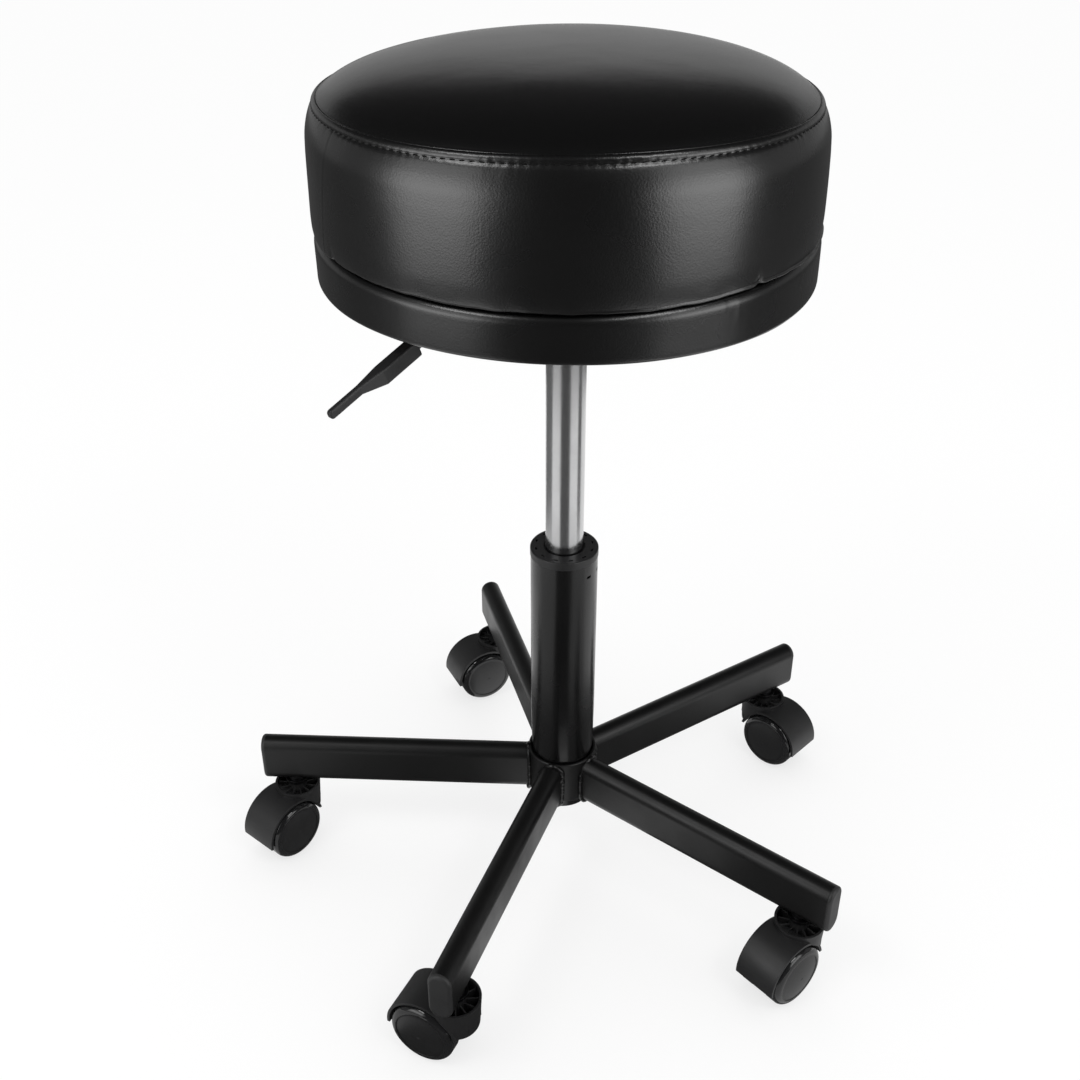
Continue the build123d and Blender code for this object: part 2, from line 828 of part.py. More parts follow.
# Cushion: drawn-in sides, a sewn groove under the rim and a crowned top panel
crown_top = seam_height + crown_height
stitch_height = seam_height - stitch_drop
with BuildPart() as seat_cushion:
    with BuildSketch(Plane.XZ):
        pocket_radius = board_radius + seat_gap
        pocket_top = board_top + tee_nut_thickness + seat_gap
        side_middle = (cushion_bottom + stitch_height) / 2
        with BuildLine():
            tuck_start = (cushion_edge_radius - cushion_tuck, cushion_bottom)
            Line((pocket_radius, cushion_bottom), tuck_start)
            tuck = ThreePointArc(
                tuck_start,
                (cushion_edge_radius - cushion_tuck / 3, cushion_bottom + cushion_tuck / 3),
                (cushion_edge_radius, cushion_bottom + cushion_tuck),
            )
            side = ThreePointArc(
                tuck @ 1,
                (cushion_belly_radius, side_middle),
                (seam_radius + stitch_bulge, stitch_height),
            )
            welt = ThreePointArc(
                side @ 1,
                (seam_radius + (stitch_bulge + seam_groove) / 2, (stitch_height + seam_height) / 2),
                (seam_radius - seam_groove, seam_height),
            )
            crown = Bezier(
                welt @ 1,
                (seam_radius * crown_edge_share, seam_height + crown_height * crown_rise_share),
                (seam_radius * crown_flat_share, crown_top),
                (0, crown_top),
            )
            Line(crown @ 1, (0, pocket_top))
            Line((0, pocket_top), (pocket_radius, pocket_top))
            Line((pocket_radius, pocket_top), (pocket_radius, cushion_bottom))
        make_face()
    revolve(axis=Axis.Z)
save(seat_cushion.part, "seat_cushion")

# Release lever: a bent rod with a cross-drilled boss and a moulded paddle
slope = radians(lever_slope)
lever_drop_run = lever_rod_length * cos(slope)
lever_bend_point = (lever_bend_radius, lever_axis_height)
lever_end_point = (
    lever_bend_radius + lever_drop_run,
    lever_axis_height - lever_rod_length * sin(slope),
)
with BuildPart() as lever_rod:
    with BuildLine(lever_side_plane) as rod_path:
        FilletPolyline(
            (-lever_tail, lever_axis_height),
            lever_bend_point,
            lever_end_point,
            radius=lever_bend_round,
        )
    with BuildSketch(Plane(rod_path.line @ 0, z_dir=rod_path.line % 0)):
        Circle(lever_rod_radius)
    sweep(path=rod_path.line)
    with BuildSketch(lever_side_plane.offset(-pivot_boss_length / 2)):
        with Locations((lever_pivot_radius, lever_axis_height)):
            Circle(pivot_boss_radius)
    extrude(amount=pivot_boss_length)
    with BuildSketch(lever_side_plane.offset(-pivot_boss_length)):
        with Locations((lever_pivot_radius, lever_axis_height)):
            Circle(pivot_radius + running_clearance)
    extrude(amount=2 * pivot_boss_length, mode=Mode.SUBTRACT)
save(lever_rod.part, "lever_rod")

# The paddle's own frame runs down the slope of the rod
paddle_plane = Plane(
    origin=lever_side_plane.from_local_coords((*lever_bend_point, 0)),
    x_dir=lever_side_plane.x_dir * cos(slope) - Vector(0, 0, sin(slope)),
    z_dir=lever_side_plane.z_dir,
)
paddle_from = (paddle_start - lever_bend_radius) / cos(slope)
paddle_to = (paddle_end - lever_bend_radius) / cos(slope)
sleeve_end = paddle_from + (paddle_to - paddle_from) * paddle_sleeve_share
blade_start = sleeve_end + (paddle_to - paddle_from) * paddle_step_share


paddle_top = paddle_sleeve_height / 2
blade_under = paddle_top - paddle_blade_height
with BuildPart() as lever_paddle:
    # Side view: straight on top, stepped up below from the sleeve to the blade
    with BuildSketch(paddle_plane) as side_view:
        with BuildLine():
            Polyline(
                (paddle_from, paddle_top),
                (paddle_to, paddle_top),
                (paddle_to, blade_under),
                (blade_start, blade_under),
                (sleeve_end, -paddle_top),
                (paddle_from, -paddle_top),
                close=True,
            )
        make_face()
        fillet(side_view.vertices().group_by(Axis.X)[-1], paddle_tip_round)
    extrude(amount=paddle_sleeve_width, both=True)
    # Top view: the same on both sides, drawn in from the sleeve to the blade
    across_plane = Plane(
        origin=paddle_plane.origin, x_dir=paddle_plane.x_dir, z_dir=-paddle_plane.y_dir
    )
    with BuildSketch(across_plane):
        with BuildLine():
            half_view = Polyline(
                (paddle_from, 0),
                (paddle_from, paddle_sleeve_width / 2),
                (sleeve_end, paddle_sleeve_width / 2),
                (blade_start, paddle_blade_width / 2),
                (paddle_to, paddle_blade_width / 2),
                (paddle_to, 0),
            )
            mirror(half_view, about=Plane.XZ)
        make_face()
    extrude(amount=paddle_sleeve_height, both=True, mode=Mode.INTERSECT)
    fillet(lever_paddle.edges(), paddle_edge_round)
    with BuildSketch(Plane(paddle_plane.origin, z_dir=paddle_plane.x_dir)):
        Circle(lever_rod_radius + push_fit)
    extrude(amount=lever_rod_length + push_fit, mode=Mode.SUBTRACT)
save(lever_paddle.part, "lever_paddle")

# Caster wheel: closed domed face, hollow inner side with ribs and a blind bore
face_inside = wheel_face - wheel_disc_thickness
wheel_bore = axle_radius + running_clearance
bore_end = axle_half_length + seat_gap
rim_inside = wheel_radius - wheel_rim_thickness
face_crown = wheel_face + wheel_dome
with BuildPart() as wheel:
    with BuildSketch(Plane.XZ):
        shoulder_middle = (
            wheel_face_radius + (wheel_radius - wheel_face_radius) * shoulder_out_share,
            wheel_shoulder + (wheel_face - wheel_shoulder) * shoulder_up_share,
        )
        with BuildLine():
            Polyline(
                (0, bore_end),
                (wheel_bore, bore_end),
                (wheel_bore, wheel_inner),
                (wheel_boss_radius, wheel_inner),
                (wheel_boss_radius, face_inside),
                (rim_inside, face_inside),
                (rim_inside, wheel_inner),
                (wheel_radius, wheel_inner),
                (wheel_radius, wheel_shoulder),
            )
            ThreePointArc(
                (wheel_radius, wheel_shoulder),
                shoulder_middle,
                (wheel_face_radius, wheel_face),
            )
            Line((wheel_face_radius, wheel_face), (wheel_face_radius, wheel_face - wheel_face_step))
            step_end = (wheel_face_radius - wheel_face_step, wheel_face - wheel_face_step)
            Line((wheel_face_radius, wheel_face - wheel_face_step), step_end)
            TangentArc((0, face_crown), step_end, tangent=(1, 0))
            Line((0, face_crown), (0, bore_end))
        make_face()
    revolve(axis=Axis.Z)
    rib_length = rim_inside - wheel_boss_radius + wheel_rib_thickness
    with BuildSketch(Plane.XY.offset(wheel_inner + wheel_rib_thickness)):
        with PolarLocations((rim_inside + wheel_boss_radius) / 2, wheel_rib_count):
            Rectangle(rib_length, wheel_rib_thickness)
    extrude(amount=face_inside - wheel_inner)

# Space inside the caster's turret, down to the drum over the wheels
axle_point = (trail, wheel_radius)
with BuildPart() as turret_well:
    with BuildSketch(Plane.XY.offset(turret_floor)):
        Circle(turret_radius - turret_wall)
    extrude(amount=turret_top - turret_floor + overrun)
    with BuildSketch(Plane.XZ):
        with Locations(axle_point):
            Circle(hood_radius)
    extrude(amount=turret_radius + overrun, both=True, mode=Mode.SUBTRACT)

# Caster hood: half drum over the wheels, turret with ribs, web, bosses and bores
with BuildPart() as hood:
    with BuildSketch(Plane.XZ):
        with Locations(axle_point):
            Circle(hood_radius)
        with Locations((trail + hood_radius, hood_rear_height - hood_radius)):
            Rectangle(2 * hood_radius, 2 * hood_radius, mode=Mode.SUBTRACT)
        with Locations((trail - hood_radius, hood_front_height - hood_radius)):
            Rectangle(2 * hood_radius, 2 * hood_radius, mode=Mode.SUBTRACT)
    extrude(amount=hood_half_width, both=True)
    with BuildSketch(Plane.XZ) as turret_profile:
        with BuildLine():
            Polyline(
                (0, hood_front_height),
                (turret_foot_radius, hood_front_height),
                (turret_radius, turret_top),
                (0, turret_top),
                close=True,
            )
        make_face()
        foot_corner = turret_profile.vertices().group_by(Axis.Y)[0].sort_by(Axis.X)[-1]
        fillet(foot_corner, turret_foot_round)
    revolve(axis=Axis.Z)
    add(turret_well.part, mode=Mode.SUBTRACT)
    # Radial ribs in the well, round the stem boss
    rib_top = turret_top - turret_rib_drop
    with BuildSketch(Plane.XY.offset(turret_floor)):
        with PolarLocations(turret_radius / 2, turret_rib_count):
            Rectangle(turret_radius - turret_wall, turret_rib_thickness)
    extrude(amount=rib_top - turret_floor)
    with BuildSketch(Plane.XY.offset(hood_front_height)):
        Circle(stem_boss_radius)
    extrude(amount=stem_boss_top - hood_front_height)
    # Spaces for the two wheels, each side of the web
    for side in (-1, 1):
        with BuildSketch(Plane.XZ.offset(side * hood_web_half)):
            with Locations(axle_point):
                Circle(wheel_space_radius)
        extrude(amount=side * turret_radius, mode=Mode.SUBTRACT)
    with BuildSketch(Plane.XZ):
        with Locations(axle_point):
            Circle(axle_boss_radius)
    extrude(amount=hood_web_half, both=True)
    with BuildSketch(Plane.XZ):
        with Locations(axle_point):
            Circle(axle_radius + push_fit)
    extrude(amount=hood_half_width, both=True, mode=Mode.SUBTRACT)
    with BuildSketch(Plane.XY.offset(hood_front_height - overrun)):
        Circle(stem_pin_radius + running_clearance)
    extrude(amount=turret_top, mode=Mode.SUBTRACT)

with BuildPart() as caster_axle:
    with BuildSketch(Plane.XZ.offset(-axle_half_length)):
        with Locations(axle_point):
            Circle(axle_radius)
    extrude(amount=2 * axle_half_length)
    chamfer(caster_axle.edges().filter_by(GeomType.CIRCLE), axle_radius / 6)

for index in range(leg_count):
    leg_across = radians(leg_first_angle + index * 360 / leg_count)
    caster_place = Location(
        (caster_circle * cos(leg_across), caster_circle * sin(leg_across), 0),
        (0, 0, caster_trail_angles[index]),
    )
    with BuildPart() as placed_hood:
        with Locations(caster_place):
            add(hood.part)
    save(placed_hood.part, f"hood_{index + 1}")
    with BuildPart() as placed_axle:
        with Locations(caster_place):
            add(caster_axle.part)
    save(placed_axle.part, f"axle_{index + 1}")
    for side_name, tilt in (("left", -90), ("right", 90)):
        with BuildPart() as placed_wheel:
            with Locations(caster_place * Location((trail, 0, wheel_radius), (tilt, 0, 0))):
                add(wheel.part)
        save(placed_wheel.part, f"wheel_{index + 1}_{side_name}")
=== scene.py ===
import json
from math import atan2, cos, exp, hypot, pi, radians, sin, sqrt

import bpy
from mathutils import Matrix, Vector, noise


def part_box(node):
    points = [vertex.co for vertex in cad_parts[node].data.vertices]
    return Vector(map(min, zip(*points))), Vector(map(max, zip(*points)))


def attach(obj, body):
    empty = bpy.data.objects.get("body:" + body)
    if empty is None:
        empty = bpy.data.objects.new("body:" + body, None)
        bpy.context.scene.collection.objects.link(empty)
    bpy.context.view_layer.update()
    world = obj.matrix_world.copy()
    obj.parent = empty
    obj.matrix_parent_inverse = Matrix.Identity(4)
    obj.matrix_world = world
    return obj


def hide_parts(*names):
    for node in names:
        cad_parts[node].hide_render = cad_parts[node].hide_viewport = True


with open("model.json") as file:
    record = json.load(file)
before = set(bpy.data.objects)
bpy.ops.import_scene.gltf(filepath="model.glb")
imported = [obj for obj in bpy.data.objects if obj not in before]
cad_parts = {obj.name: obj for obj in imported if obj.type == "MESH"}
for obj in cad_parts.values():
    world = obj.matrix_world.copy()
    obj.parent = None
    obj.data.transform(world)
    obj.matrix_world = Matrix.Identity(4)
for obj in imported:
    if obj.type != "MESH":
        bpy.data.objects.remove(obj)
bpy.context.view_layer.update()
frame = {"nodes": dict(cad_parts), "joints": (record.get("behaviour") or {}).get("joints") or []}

# Lengths are in metres. Places come from the frame's nodes; the sizes below are the looks' own
mm = 0.001
nodes = frame["nodes"]
leg_count = 5
image_side = 1080

# Seat places, from the frame
cushion_low, cushion_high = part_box("seat_cushion")
band_low, band_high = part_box("seat_band")
cover_low, cover_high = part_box("dust_cover")
hub_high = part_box("hub")[1]
belly_radius = cushion_high.x
board_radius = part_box("seat_board")[1].x
cushion_bottom = cushion_low.z
crown_top = cushion_high.z

# Cushion: the seam and the stitches are placed from the frame
seam_height = crown_top - 20.7 * mm
seam_radius = belly_radius - 8.1 * mm
stitch_drop = 4.2 * mm
stitch_height = seam_height - stitch_drop
stitch_radius = belly_radius - 6.0 * mm
# The side's profile: (height over the lower edge, radius), both in mm
side_outline = (
    (1.2, 160.0), (4.0, 160.45), (8.5, 160.8), (15.0, 161.0), (32.5, 161.0), (46.5, 160.8),
    (54.0, 160.5), (61.5, 159.9), (67.5, 158.6), (71.5, 157.3), (74.5, 156.0), (76.7, 154.6),
)
# The hidden pocket over the board, and the tuck under the side's lower edge
pocket_gap = 0.6 * mm
pocket_depth = 20 * mm
tuck_depth = 1.8 * mm
tuck_middle_in, tuck_middle_up = 0.5 * mm, 0.32 * mm
# The welt between stitches and seam, the groove, and the small roll at the crown's edge, as
# (in from the seam, up from the seam)
welt_middle_in, welt_middle_up = 0.5 * mm, 0.7 * mm
welt_top = (0.2 * mm, 0.1 * mm)
groove = ((0.55 * mm, -0.9 * mm), (0.85 * mm, -0.9 * mm))
roll_foot, roll_middle = (0.95 * mm, -0.5 * mm), (1.08 * mm, -0.02 * mm)
crown_edge = (1.5 * mm, 0.3 * mm)
tuck_steps, side_steps, welt_steps, roll_steps, crown_steps = 5, 4, 7, 4, 44
# The cover stands a little off the board's middle, as in the photograph
cushion_shift = -1.6 * mm
crown_height = 23.0 * mm
crown_edge_share = 0.92
crown_rise_share = 0.40
crown_flat_share = 0.76
# How much smoother the tight crown's vinyl is than the side's
crown_gloss = 0.09
# How far the sewn rim stands over or under its mean height: (angle in degrees, mm)
rim_lift = (
    (-180, 0.2), (-165, 1.2), (-155, 0.8), (-145, -0.6), (-131, -0.2), (-120, 1.0), (-105, 1.9),
    (-88, 1.7), (-72, 1.2), (-58, 0.5), (-44, -0.5), (-30, -1.3), (-15, -2.4), (0, -2.8),
    (25, -2.2), (60, -0.8), (100, -0.6), (140, -0.8), (180, 0.2),
)
# How far the cushion's lower edge and the band's upper edge drop: (angle in degrees, mm)
edge_drop = (
    (-180, 0.2), (-160, 0.3), (-131, 0.4), (-100, 1.4), (-80, 1.6), (-56, 0.5), (-30, 0.3),
    (0, 0.3), (60, 0.6), (110, 0.4), (180, 0.2),
)
# How far the band's lower edge drops: (angle in degrees, mm)
band_overhang = (
    (-180, 0.5), (-120, 0.8), (-95, 1.0), (-70, 2.2), (-35, 3.2), (0, 1.8), (60, 0.8), (180, 0.5),
)
# Terms of the closed curves that follow these tables
wave_count = 4
band_shift = -1.0 * mm
stitch_count = 174
stitch_pitch = 2 * pi / stitch_count
cushion_columns = stitch_count * 6
band_columns = 480

# Slanted seam in the cushion's side, dents in its lower edge and creases of the band, as angles
boxing_seam_top, boxing_seam_foot = radians(-146.1), radians(-152.0)
lower_dents = [
    (radians(a), depth) for a, depth in ((-147.5, 1.3), (-46.5, 0.8), (35.0, 0.9), (118.0, 1.1))
]
band_crease_angles = [radians(a) for a in (-145.6, -53.9, -29.4, 62.0, 139.0)]

# Where the rim is gathered most: (angle, width)
gathers = [
    (radians(a), radians(w)) for a, w in ((-105, 9), (-77, 7), (-48, 6), (40, 12), (130, 14))
]

# The cushion cover's unevenness: how far it moves, and over what reach
side_wave = 0.42 * mm
edge_reach = 6.0 * mm
edge_wander = 0.45 * mm
edge_wave = 0.35 * mm
dent_reach, dent_lift_share = 2.6 * mm, 0.8
fold_depth, fold_reach = 0.10 * mm, 4.5 * mm
seam_step_depth, seam_step_reach = 0.22 * mm, 0.55 * mm
seam_ridge, seam_ridge_away, seam_ridge_reach = 0.12 * mm, 1.6 * mm, 1.4 * mm
crown_swell, crown_calm_edge = 0.14 * mm, 18 * mm
# The same round the stitches. The pulls and puffs in this group are in mm
thread_pull, hole_pull, pull_reach = 0.14, 0.22, 0.8 * mm
puff_over, puff_over_away, puff_over_reach = 0.08, 1.4 * mm, 1.2 * mm
puff_under, puff_under_away, puff_under_reach = 0.06, 1.9 * mm, 1.3 * mm
crumple_least, crumple_gathered = 0.05, 0.10

# Stitches: small tapered bars, as (share of the length, share of the thickness)
stitch_length = 3.3 * mm
stitch_thickness = 0.9 * mm
stitch_stand = 0.1 * mm
bar_sections = ((-0.5, 0.35), (-0.36, 0.85), (0.0, 1.0), (0.36, 0.85), (0.5, 0.35))
bar_sides = 6

# Band: its thickness and roundings, and its creases
band_thickness = 17.6 * mm
band_lower_round, band_upper_round, band_inner_round = 2.2 * mm, 6.0 * mm, 1 * mm
band_side_rows = 12
band_wave, band_inset = 0.22 * mm, 0.12 * mm
band_edge_drop = 0.3
# Only the band's outer part is uneven: where that starts, in from its outside, and over what
outer_start, outer_reach = 8 * mm, 6 * mm
crease_below_top, crease_height, crease_lean = 6 * mm, 9 * mm, 0.1
crease_depth, crease_reach = 0.30 * mm, 0.7 * mm
crease_ridge, crease_ridge_away, crease_ridge_reach = 0.10 * mm, 2.0 * mm, 1.6 * mm

# Dust cover: rings of points, and the slack between the mount plate and the staples
cover_columns, cover_rings = 180, 36
cover_sag = 0.5 * mm
sag_start, sag_start_reach, sag_end_reach = 108 * mm, 12 * mm, 8 * mm

# Staples of the dust cover
staple_count = 34
staple_length = 10.5 * mm
staple_wire_size = 1.1 * mm
staple_inset = 5 * mm

# Weld beads between the legs and the hub
leg_width, leg_height = 17.5 * mm, 41.0 * mm
bead_steps, bead_sides = 120, 10
bead_size = 2.3 * mm
bead_outward, bead_along = 0.85, 1.15
bead_lump, bead_ripple = 0.30, 0.16
bead_drift = 0.5 * mm
bead_stand = 0.2 * mm
outline_step = 0.004


def clamp(value):
    """A value held between 0 and 1."""
    return min(1.0, max(0.0, value))


def add_object(name, data):
    """An object of some data, in the scene."""
    made = bpy.data.objects.new(name, data)
    bpy.context.scene.collection.objects.link(made)
    return made


def new_mesh(name, points, faces, body, material):
    """A smooth mesh object that rides on a body and takes its finish from a slot."""
    mesh = bpy.data.meshes.new(name)
    mesh.from_pydata([tuple(p) for p in points], [], faces)
    mesh.validate()
    mesh.shade_smooth()
    piece = add_object(name, mesh)
    mesh.materials.append(material)
    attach(piece, body)
    return piece


def arc_points(start, middle, end, count):
    """Points on the circle through three points, start and end included."""
    (ax, ay), (bx, by), (cx, cy) = start, middle, end
    d = 2 * (ax * (by - cy) + bx * (cy - ay) + cx * (ay - by))
    a2, b2, c2 = ax * ax + ay * ay, bx * bx + by * by, cx * cx + cy * cy
    ux = (a2 * (by - cy) + b2 * (cy - ay) + c2 * (ay - by)) / d
    uy = (a2 * (cx - bx) + b2 * (ax - cx) + c2 * (bx - ax)) / d
    radius = hypot(ax - ux, ay - uy)
    first = atan2(ay - uy, ax - ux)
    turn = (atan2(cy - uy, cx - ux) - first + pi) % (2 * pi) - pi
    return [
        (ux + radius * cos(first + turn * i / count), uy + radius * sin(first + turn * i / count))
        for i in range(count + 1)
    ]


def bezier_points(a, b, c, d, count):
    """Points on a cubic curve, start and end included."""
    points = []
    for i in range(count + 1):
        t = i / count
        weights = ((1 - t) ** 3, 3 * t * (1 - t) ** 2, 3 * t * t * (1 - t), t**3)
        points.append(tuple(sum(w * p[k] for w, p in zip(weights, (a, b, c, d))) for k in (0, 1)))
    return points


def quad_rows(rows, columns, start=0, closed=False):
    """Quads between closed rows of points; `closed` joins the last row to the first as well."""
    faces = []
    for row in range(rows if closed else rows - 1):
        a, b = start + row * columns, start + (row + 1) % rows * columns
        for column in range(columns):
            after = (column + 1) % columns
            faces.append((a + column, a + after, b + after, b + column))
    return faces


def revolve_grid(rows, columns, shape):
    """Points and quads of a closed ring of rows. `shape` moves (radius, height) at an angle."""
    angles = [column * 2 * pi / columns for column in range(columns)]
    points = []
    for radius, height, tag in rows:
        for angle in angles:
            r, z = shape(radius, height, tag, angle)
            points.append((r * cos(angle), r * sin(angle), z))
    return points, quad_rows(len(rows), columns)


def bump_at(distance, width):
    """A smooth hump of height 1 at distance 0."""
    return exp(-((distance / width) ** 2))


def angle_gap(a, b):
    """The angle between two directions, without a sign."""
    return abs((a - b + pi) % (2 * pi) - pi)


def ring_noise(angle, frequency, seed):
    """Smooth noise round a circle, from about -1 to 1."""
    return noise.noise(Vector((cos(angle) * frequency, sin(angle) * frequency, seed))) * 1.8


# Materials
def new_material(name, colour, roughness, metallic=0.0, level=0.5):
    """A Principled material; returns the material, its tree and its shader."""
    material = bpy.data.materials.new(name)
    material.use_nodes = True
    shader = material.node_tree.nodes["Principled BSDF"]
    shader.inputs["Base Color"].default_value = (*colour, 1)
    shader.inputs["Roughness"].default_value = roughness
    shader.inputs["Metallic"].default_value = metallic
    shader.inputs["Specular IOR Level"].default_value = level
    return material, material.node_tree, shader


def add_node(tree, kind, inputs=None, **settings):
    """A node with its settings and input values."""
    made = tree.nodes.new(kind)
    for key, value in settings.items():
        setattr(made, key, value)
    for key, value in (inputs or {}).items():
        made.inputs[key].default_value = value
    return made


def math_node(tree, operation, *values):
    """The result of a Math node; each value is a socket to link or a number to set."""
    made = add_node(tree, "ShaderNodeMath", operation=operation)
    for index, value in enumerate(values):
        if isinstance(value, bpy.types.NodeSocket):
            tree.links.new(value, made.inputs[index])
        else:
            made.inputs[index].default_value = value
    return made.outputs["Value"]


def place(tree, stretch=(1, 1, 1)):
    """Object coordinates in metres, stretched."""
    coords = add_node(tree, "ShaderNodeTexCoord")
    mapping = add_node(tree, "ShaderNodeMapping", {"Scale": stretch})
    tree.links.new(coords.outputs["Object"], mapping.inputs["Vector"])
    return mapping.outputs["Vector"]


def noise_at(tree, where, scale, detail=4.0, rough=0.55):
    """A noise texture's value at a place."""
    made = add_node(
        tree, "ShaderNodeTexNoise", {"Scale": scale, "Detail": detail, "Roughness": rough}
    )
    tree.links.new(where, made.inputs["Vector"])
    return made.outputs["Fac"]


def spread(tree, value, low, high, from_low=0.3, from_high=0.7):
    """A value mapped to the range low to high."""
    made = add_node(
        tree,
        "ShaderNodeMapRange",
        {"From Min": from_low, "From Max": from_high, "To Min": low, "To Max": high},
    )
    tree.links.new(value, made.inputs["Value"])
    return made.outputs["Result"]


def blend_colours(tree, factor, first, second):
    """A mix of two colours."""
    made = add_node(tree, "ShaderNodeMix", data_type="RGBA")
    for socket in made.inputs:
        if socket.type == "RGBA":
            socket.default_value = (*(first if socket.name == "A" else second), 1)
    tree.links.new(factor, made.inputs["Factor"])
    return next(s for s in made.outputs if s.type == "RGBA")


def bump(tree, shader, height, distance, before=None):
    """Bump from a height, over an optional earlier normal."""
    made = add_node(tree, "ShaderNodeBump", {"Strength": 1.0, "Distance": distance})
    tree.links.new(height, made.inputs["Height"])
    if before is not None:
        tree.links.new(before, made.inputs["Normal"])
    tree.links.new(made.outputs["Normal"], shader.inputs["Normal"])
    return made.outputs["Normal"]


def rounded_edges(tree, radius):
    """Normals that round off sharp edges over a small radius."""
    made = add_node(tree, "ShaderNodeBevel", {"Radius": radius}, samples=4)
    return made.outputs["Normal"]


def vinyl(name, grain=0.16 * mm, level=1.0):
    """Black upholstery vinyl: fine leather grain and a soft, slightly uneven gloss."""
    material, tree, shader = new_material(name, (0.002, 0.002, 0.0021), 0.27, level=level)
    where = place(tree)
    cells = add_node(
        tree, "ShaderNodeTexVoronoi", {"Scale": 900.0, "Smoothness": 0.6}, feature="SMOOTH_F1"
    )
    tree.links.new(where, cells.inputs["Vector"])
    first = bump(tree, shader, cells.outputs["Distance"], grain * 0.26)
    pores = noise_at(tree, where, 1500.0, 1.0)
    second = bump(tree, shader, pores, grain * 0.12, before=first)
    waves = noise_at(tree, where, 90.0, 1.0)
    bump(tree, shader, waves, grain * 0.3, before=second)
    # The crown, pulled tighter, is a little smoother than the side
    parts = add_node(tree, "ShaderNodeSeparateXYZ")
    tree.links.new(where, parts.inputs["Vector"])
    crown = spread(tree, parts.outputs["Z"], 0.0, crown_gloss, seam_height, seam_height + 6 * mm)
    patches = noise_at(tree, where, 18.0, 2.0)
    rough = math_node(tree, "SUBTRACT", spread(tree, patches, 0.25, 0.31, 0.1, 0.9), crown)
    tree.links.new(rough, shader.inputs["Roughness"])
    return material


def thread(name):
    """Dull black thread, twisted from fine strands."""
    material, tree, shader = new_material(name, (0.004, 0.004, 0.004), 0.8, level=0.2)
    where = place(tree)
    strands = noise_at(tree, where, 3000.0, 2.0)
    bump(tree, shader, strands, 0.1 * mm)
    return material


def bright_tube(name):
    """Bright drawn steel: fine rings round the tube and faint dull patches."""
    material, tree, shader = new_material(name, (0.60, 0.60, 0.605), 0.16, metallic=1.0)
    rings = noise_at(tree, place(tree, (12, 12, 1800)), 1.0, 4.0, 0.6)
    first = bump(tree, shader, rings, 0.006 * mm)
    streaks = noise_at(tree, place(tree, (900, 900, 6)), 1.0, 3.0)
    bump(tree, shader, streaks, 0.004 * mm, before=first)
    patches = noise_at(tree, place(tree, (60, 60, 25)), 1.0, 5.0)
    tree.links.new(spread(tree, patches, 0.19, 0.28), shader.inputs["Roughness"])
    dull = blend_colours(tree, rings, (0.56, 0.56, 0.565), (0.64, 0.64, 0.645))
    tree.links.new(dull, shader.inputs["Base Color"])
    return material


def powder_coat(name, roughness):
    """Black powder coat with fine orange peel."""
    material, tree, shader = new_material(name, (0.0028, 0.0028, 0.0029), roughness, level=0.5)
    where = place(tree)
    edges = rounded_edges(tree, 0.6 * mm)
    peel = noise_at(tree, where, 520.0, 2.0)
    first = bump(tree, shader, peel, 0.035 * mm, before=edges)
    specks = noise_at(tree, where, 2600.0, 2.0)
    bump(tree, shader, specks, 0.012 * mm, before=first)
    patches = noise_at(tree, where, 35.0, 4.0)
    tree.links.new(
        spread(tree, patches, roughness - 0.04, roughness + 0.05), shader.inputs["Roughness"]
    )
    return material


def moulded(name, colour, roughness, round_over=0.5 * mm):
    """Moulded black plastic with a fine spark grain and slightly uneven gloss."""
    material, tree, shader = new_material(name, colour, roughness)
    where = place(tree)
    edges = rounded_edges(tree, round_over)
    spark = noise_at(tree, where, 2200.0, 3.0)
    bump(tree, shader, spark, 0.02 * mm, before=edges)
    patches = noise_at(tree, where, 60.0, 4.0)
    tree.links.new(
        spread(tree, patches, roughness - 0.05, roughness + 0.06), shader.inputs["Roughness"]
    )
    return material


def bare_metal(name, colour, roughness):
    """Plated or turned metal with a faint grain."""
    material, tree, shader = new_material(name, colour, roughness, metallic=1.0)
    where = place(tree)
    edges = rounded_edges(tree, 0.3 * mm)
    grain = noise_at(tree, where, 1600.0, 3.0)
    bump(tree, shader, grain, 0.01 * mm, before=edges)
    patches = noise_at(tree, where, 400.0, 4.0)
    tree.links.new(
        spread(tree, patches, roughness - 0.06, roughness + 0.08), shader.inputs["Roughness"]
    )
    return material


def rubber(name):
    """Dull black rubber."""
    material, tree, shader = new_material(name, (0.02, 0.02, 0.02), 0.75)
    bump(tree, shader, noise_at(tree, place(tree), 1500.0), 0.02 * mm)
    return material


def plywood(name):
    """Birch ply: long face grain and thin layers at the edge."""
    material, tree, shader = new_material(name, (0.6, 0.44, 0.28), 0.6)
    grain = noise_at(tree, place(tree, (18, 260, 900)), 1.0, 6.0)
    tint = blend_colours(tree, grain, (0.50, 0.35, 0.20), (0.68, 0.52, 0.34))
    tree.links.new(tint, shader.inputs["Base Color"])
    bump(tree, shader, grain, 0.08 * mm)
    return material


def cover_cloth(name):
    """Thin black non-woven cloth: pressed fibres with a small dot pattern."""
    material, tree, shader = new_material(name, (0.018, 0.018, 0.018), 0.85, level=0.3)
    where = place(tree)
    fibres = noise_at(tree, place(tree, (900, 2200, 900)), 1.0, 4.0)
    first = bump(tree, shader, fibres, 0.08 * mm)
    dots = add_node(tree, "ShaderNodeTexVoronoi", {"Scale": 520.0, "Randomness": 0.15})
    tree.links.new(where, dots.inputs["Vector"])
    pattern = spread(tree, dots.outputs["Distance"], 0.0, 1.0, 0.1, 0.5)
    bump(tree, shader, pattern, 0.1 * mm, before=first)
    tint = blend_colours(tree, fibres, (0.012, 0.012, 0.012), (0.03, 0.03, 0.03))
    tree.links.new(tint, shader.inputs["Base Color"])
    return material


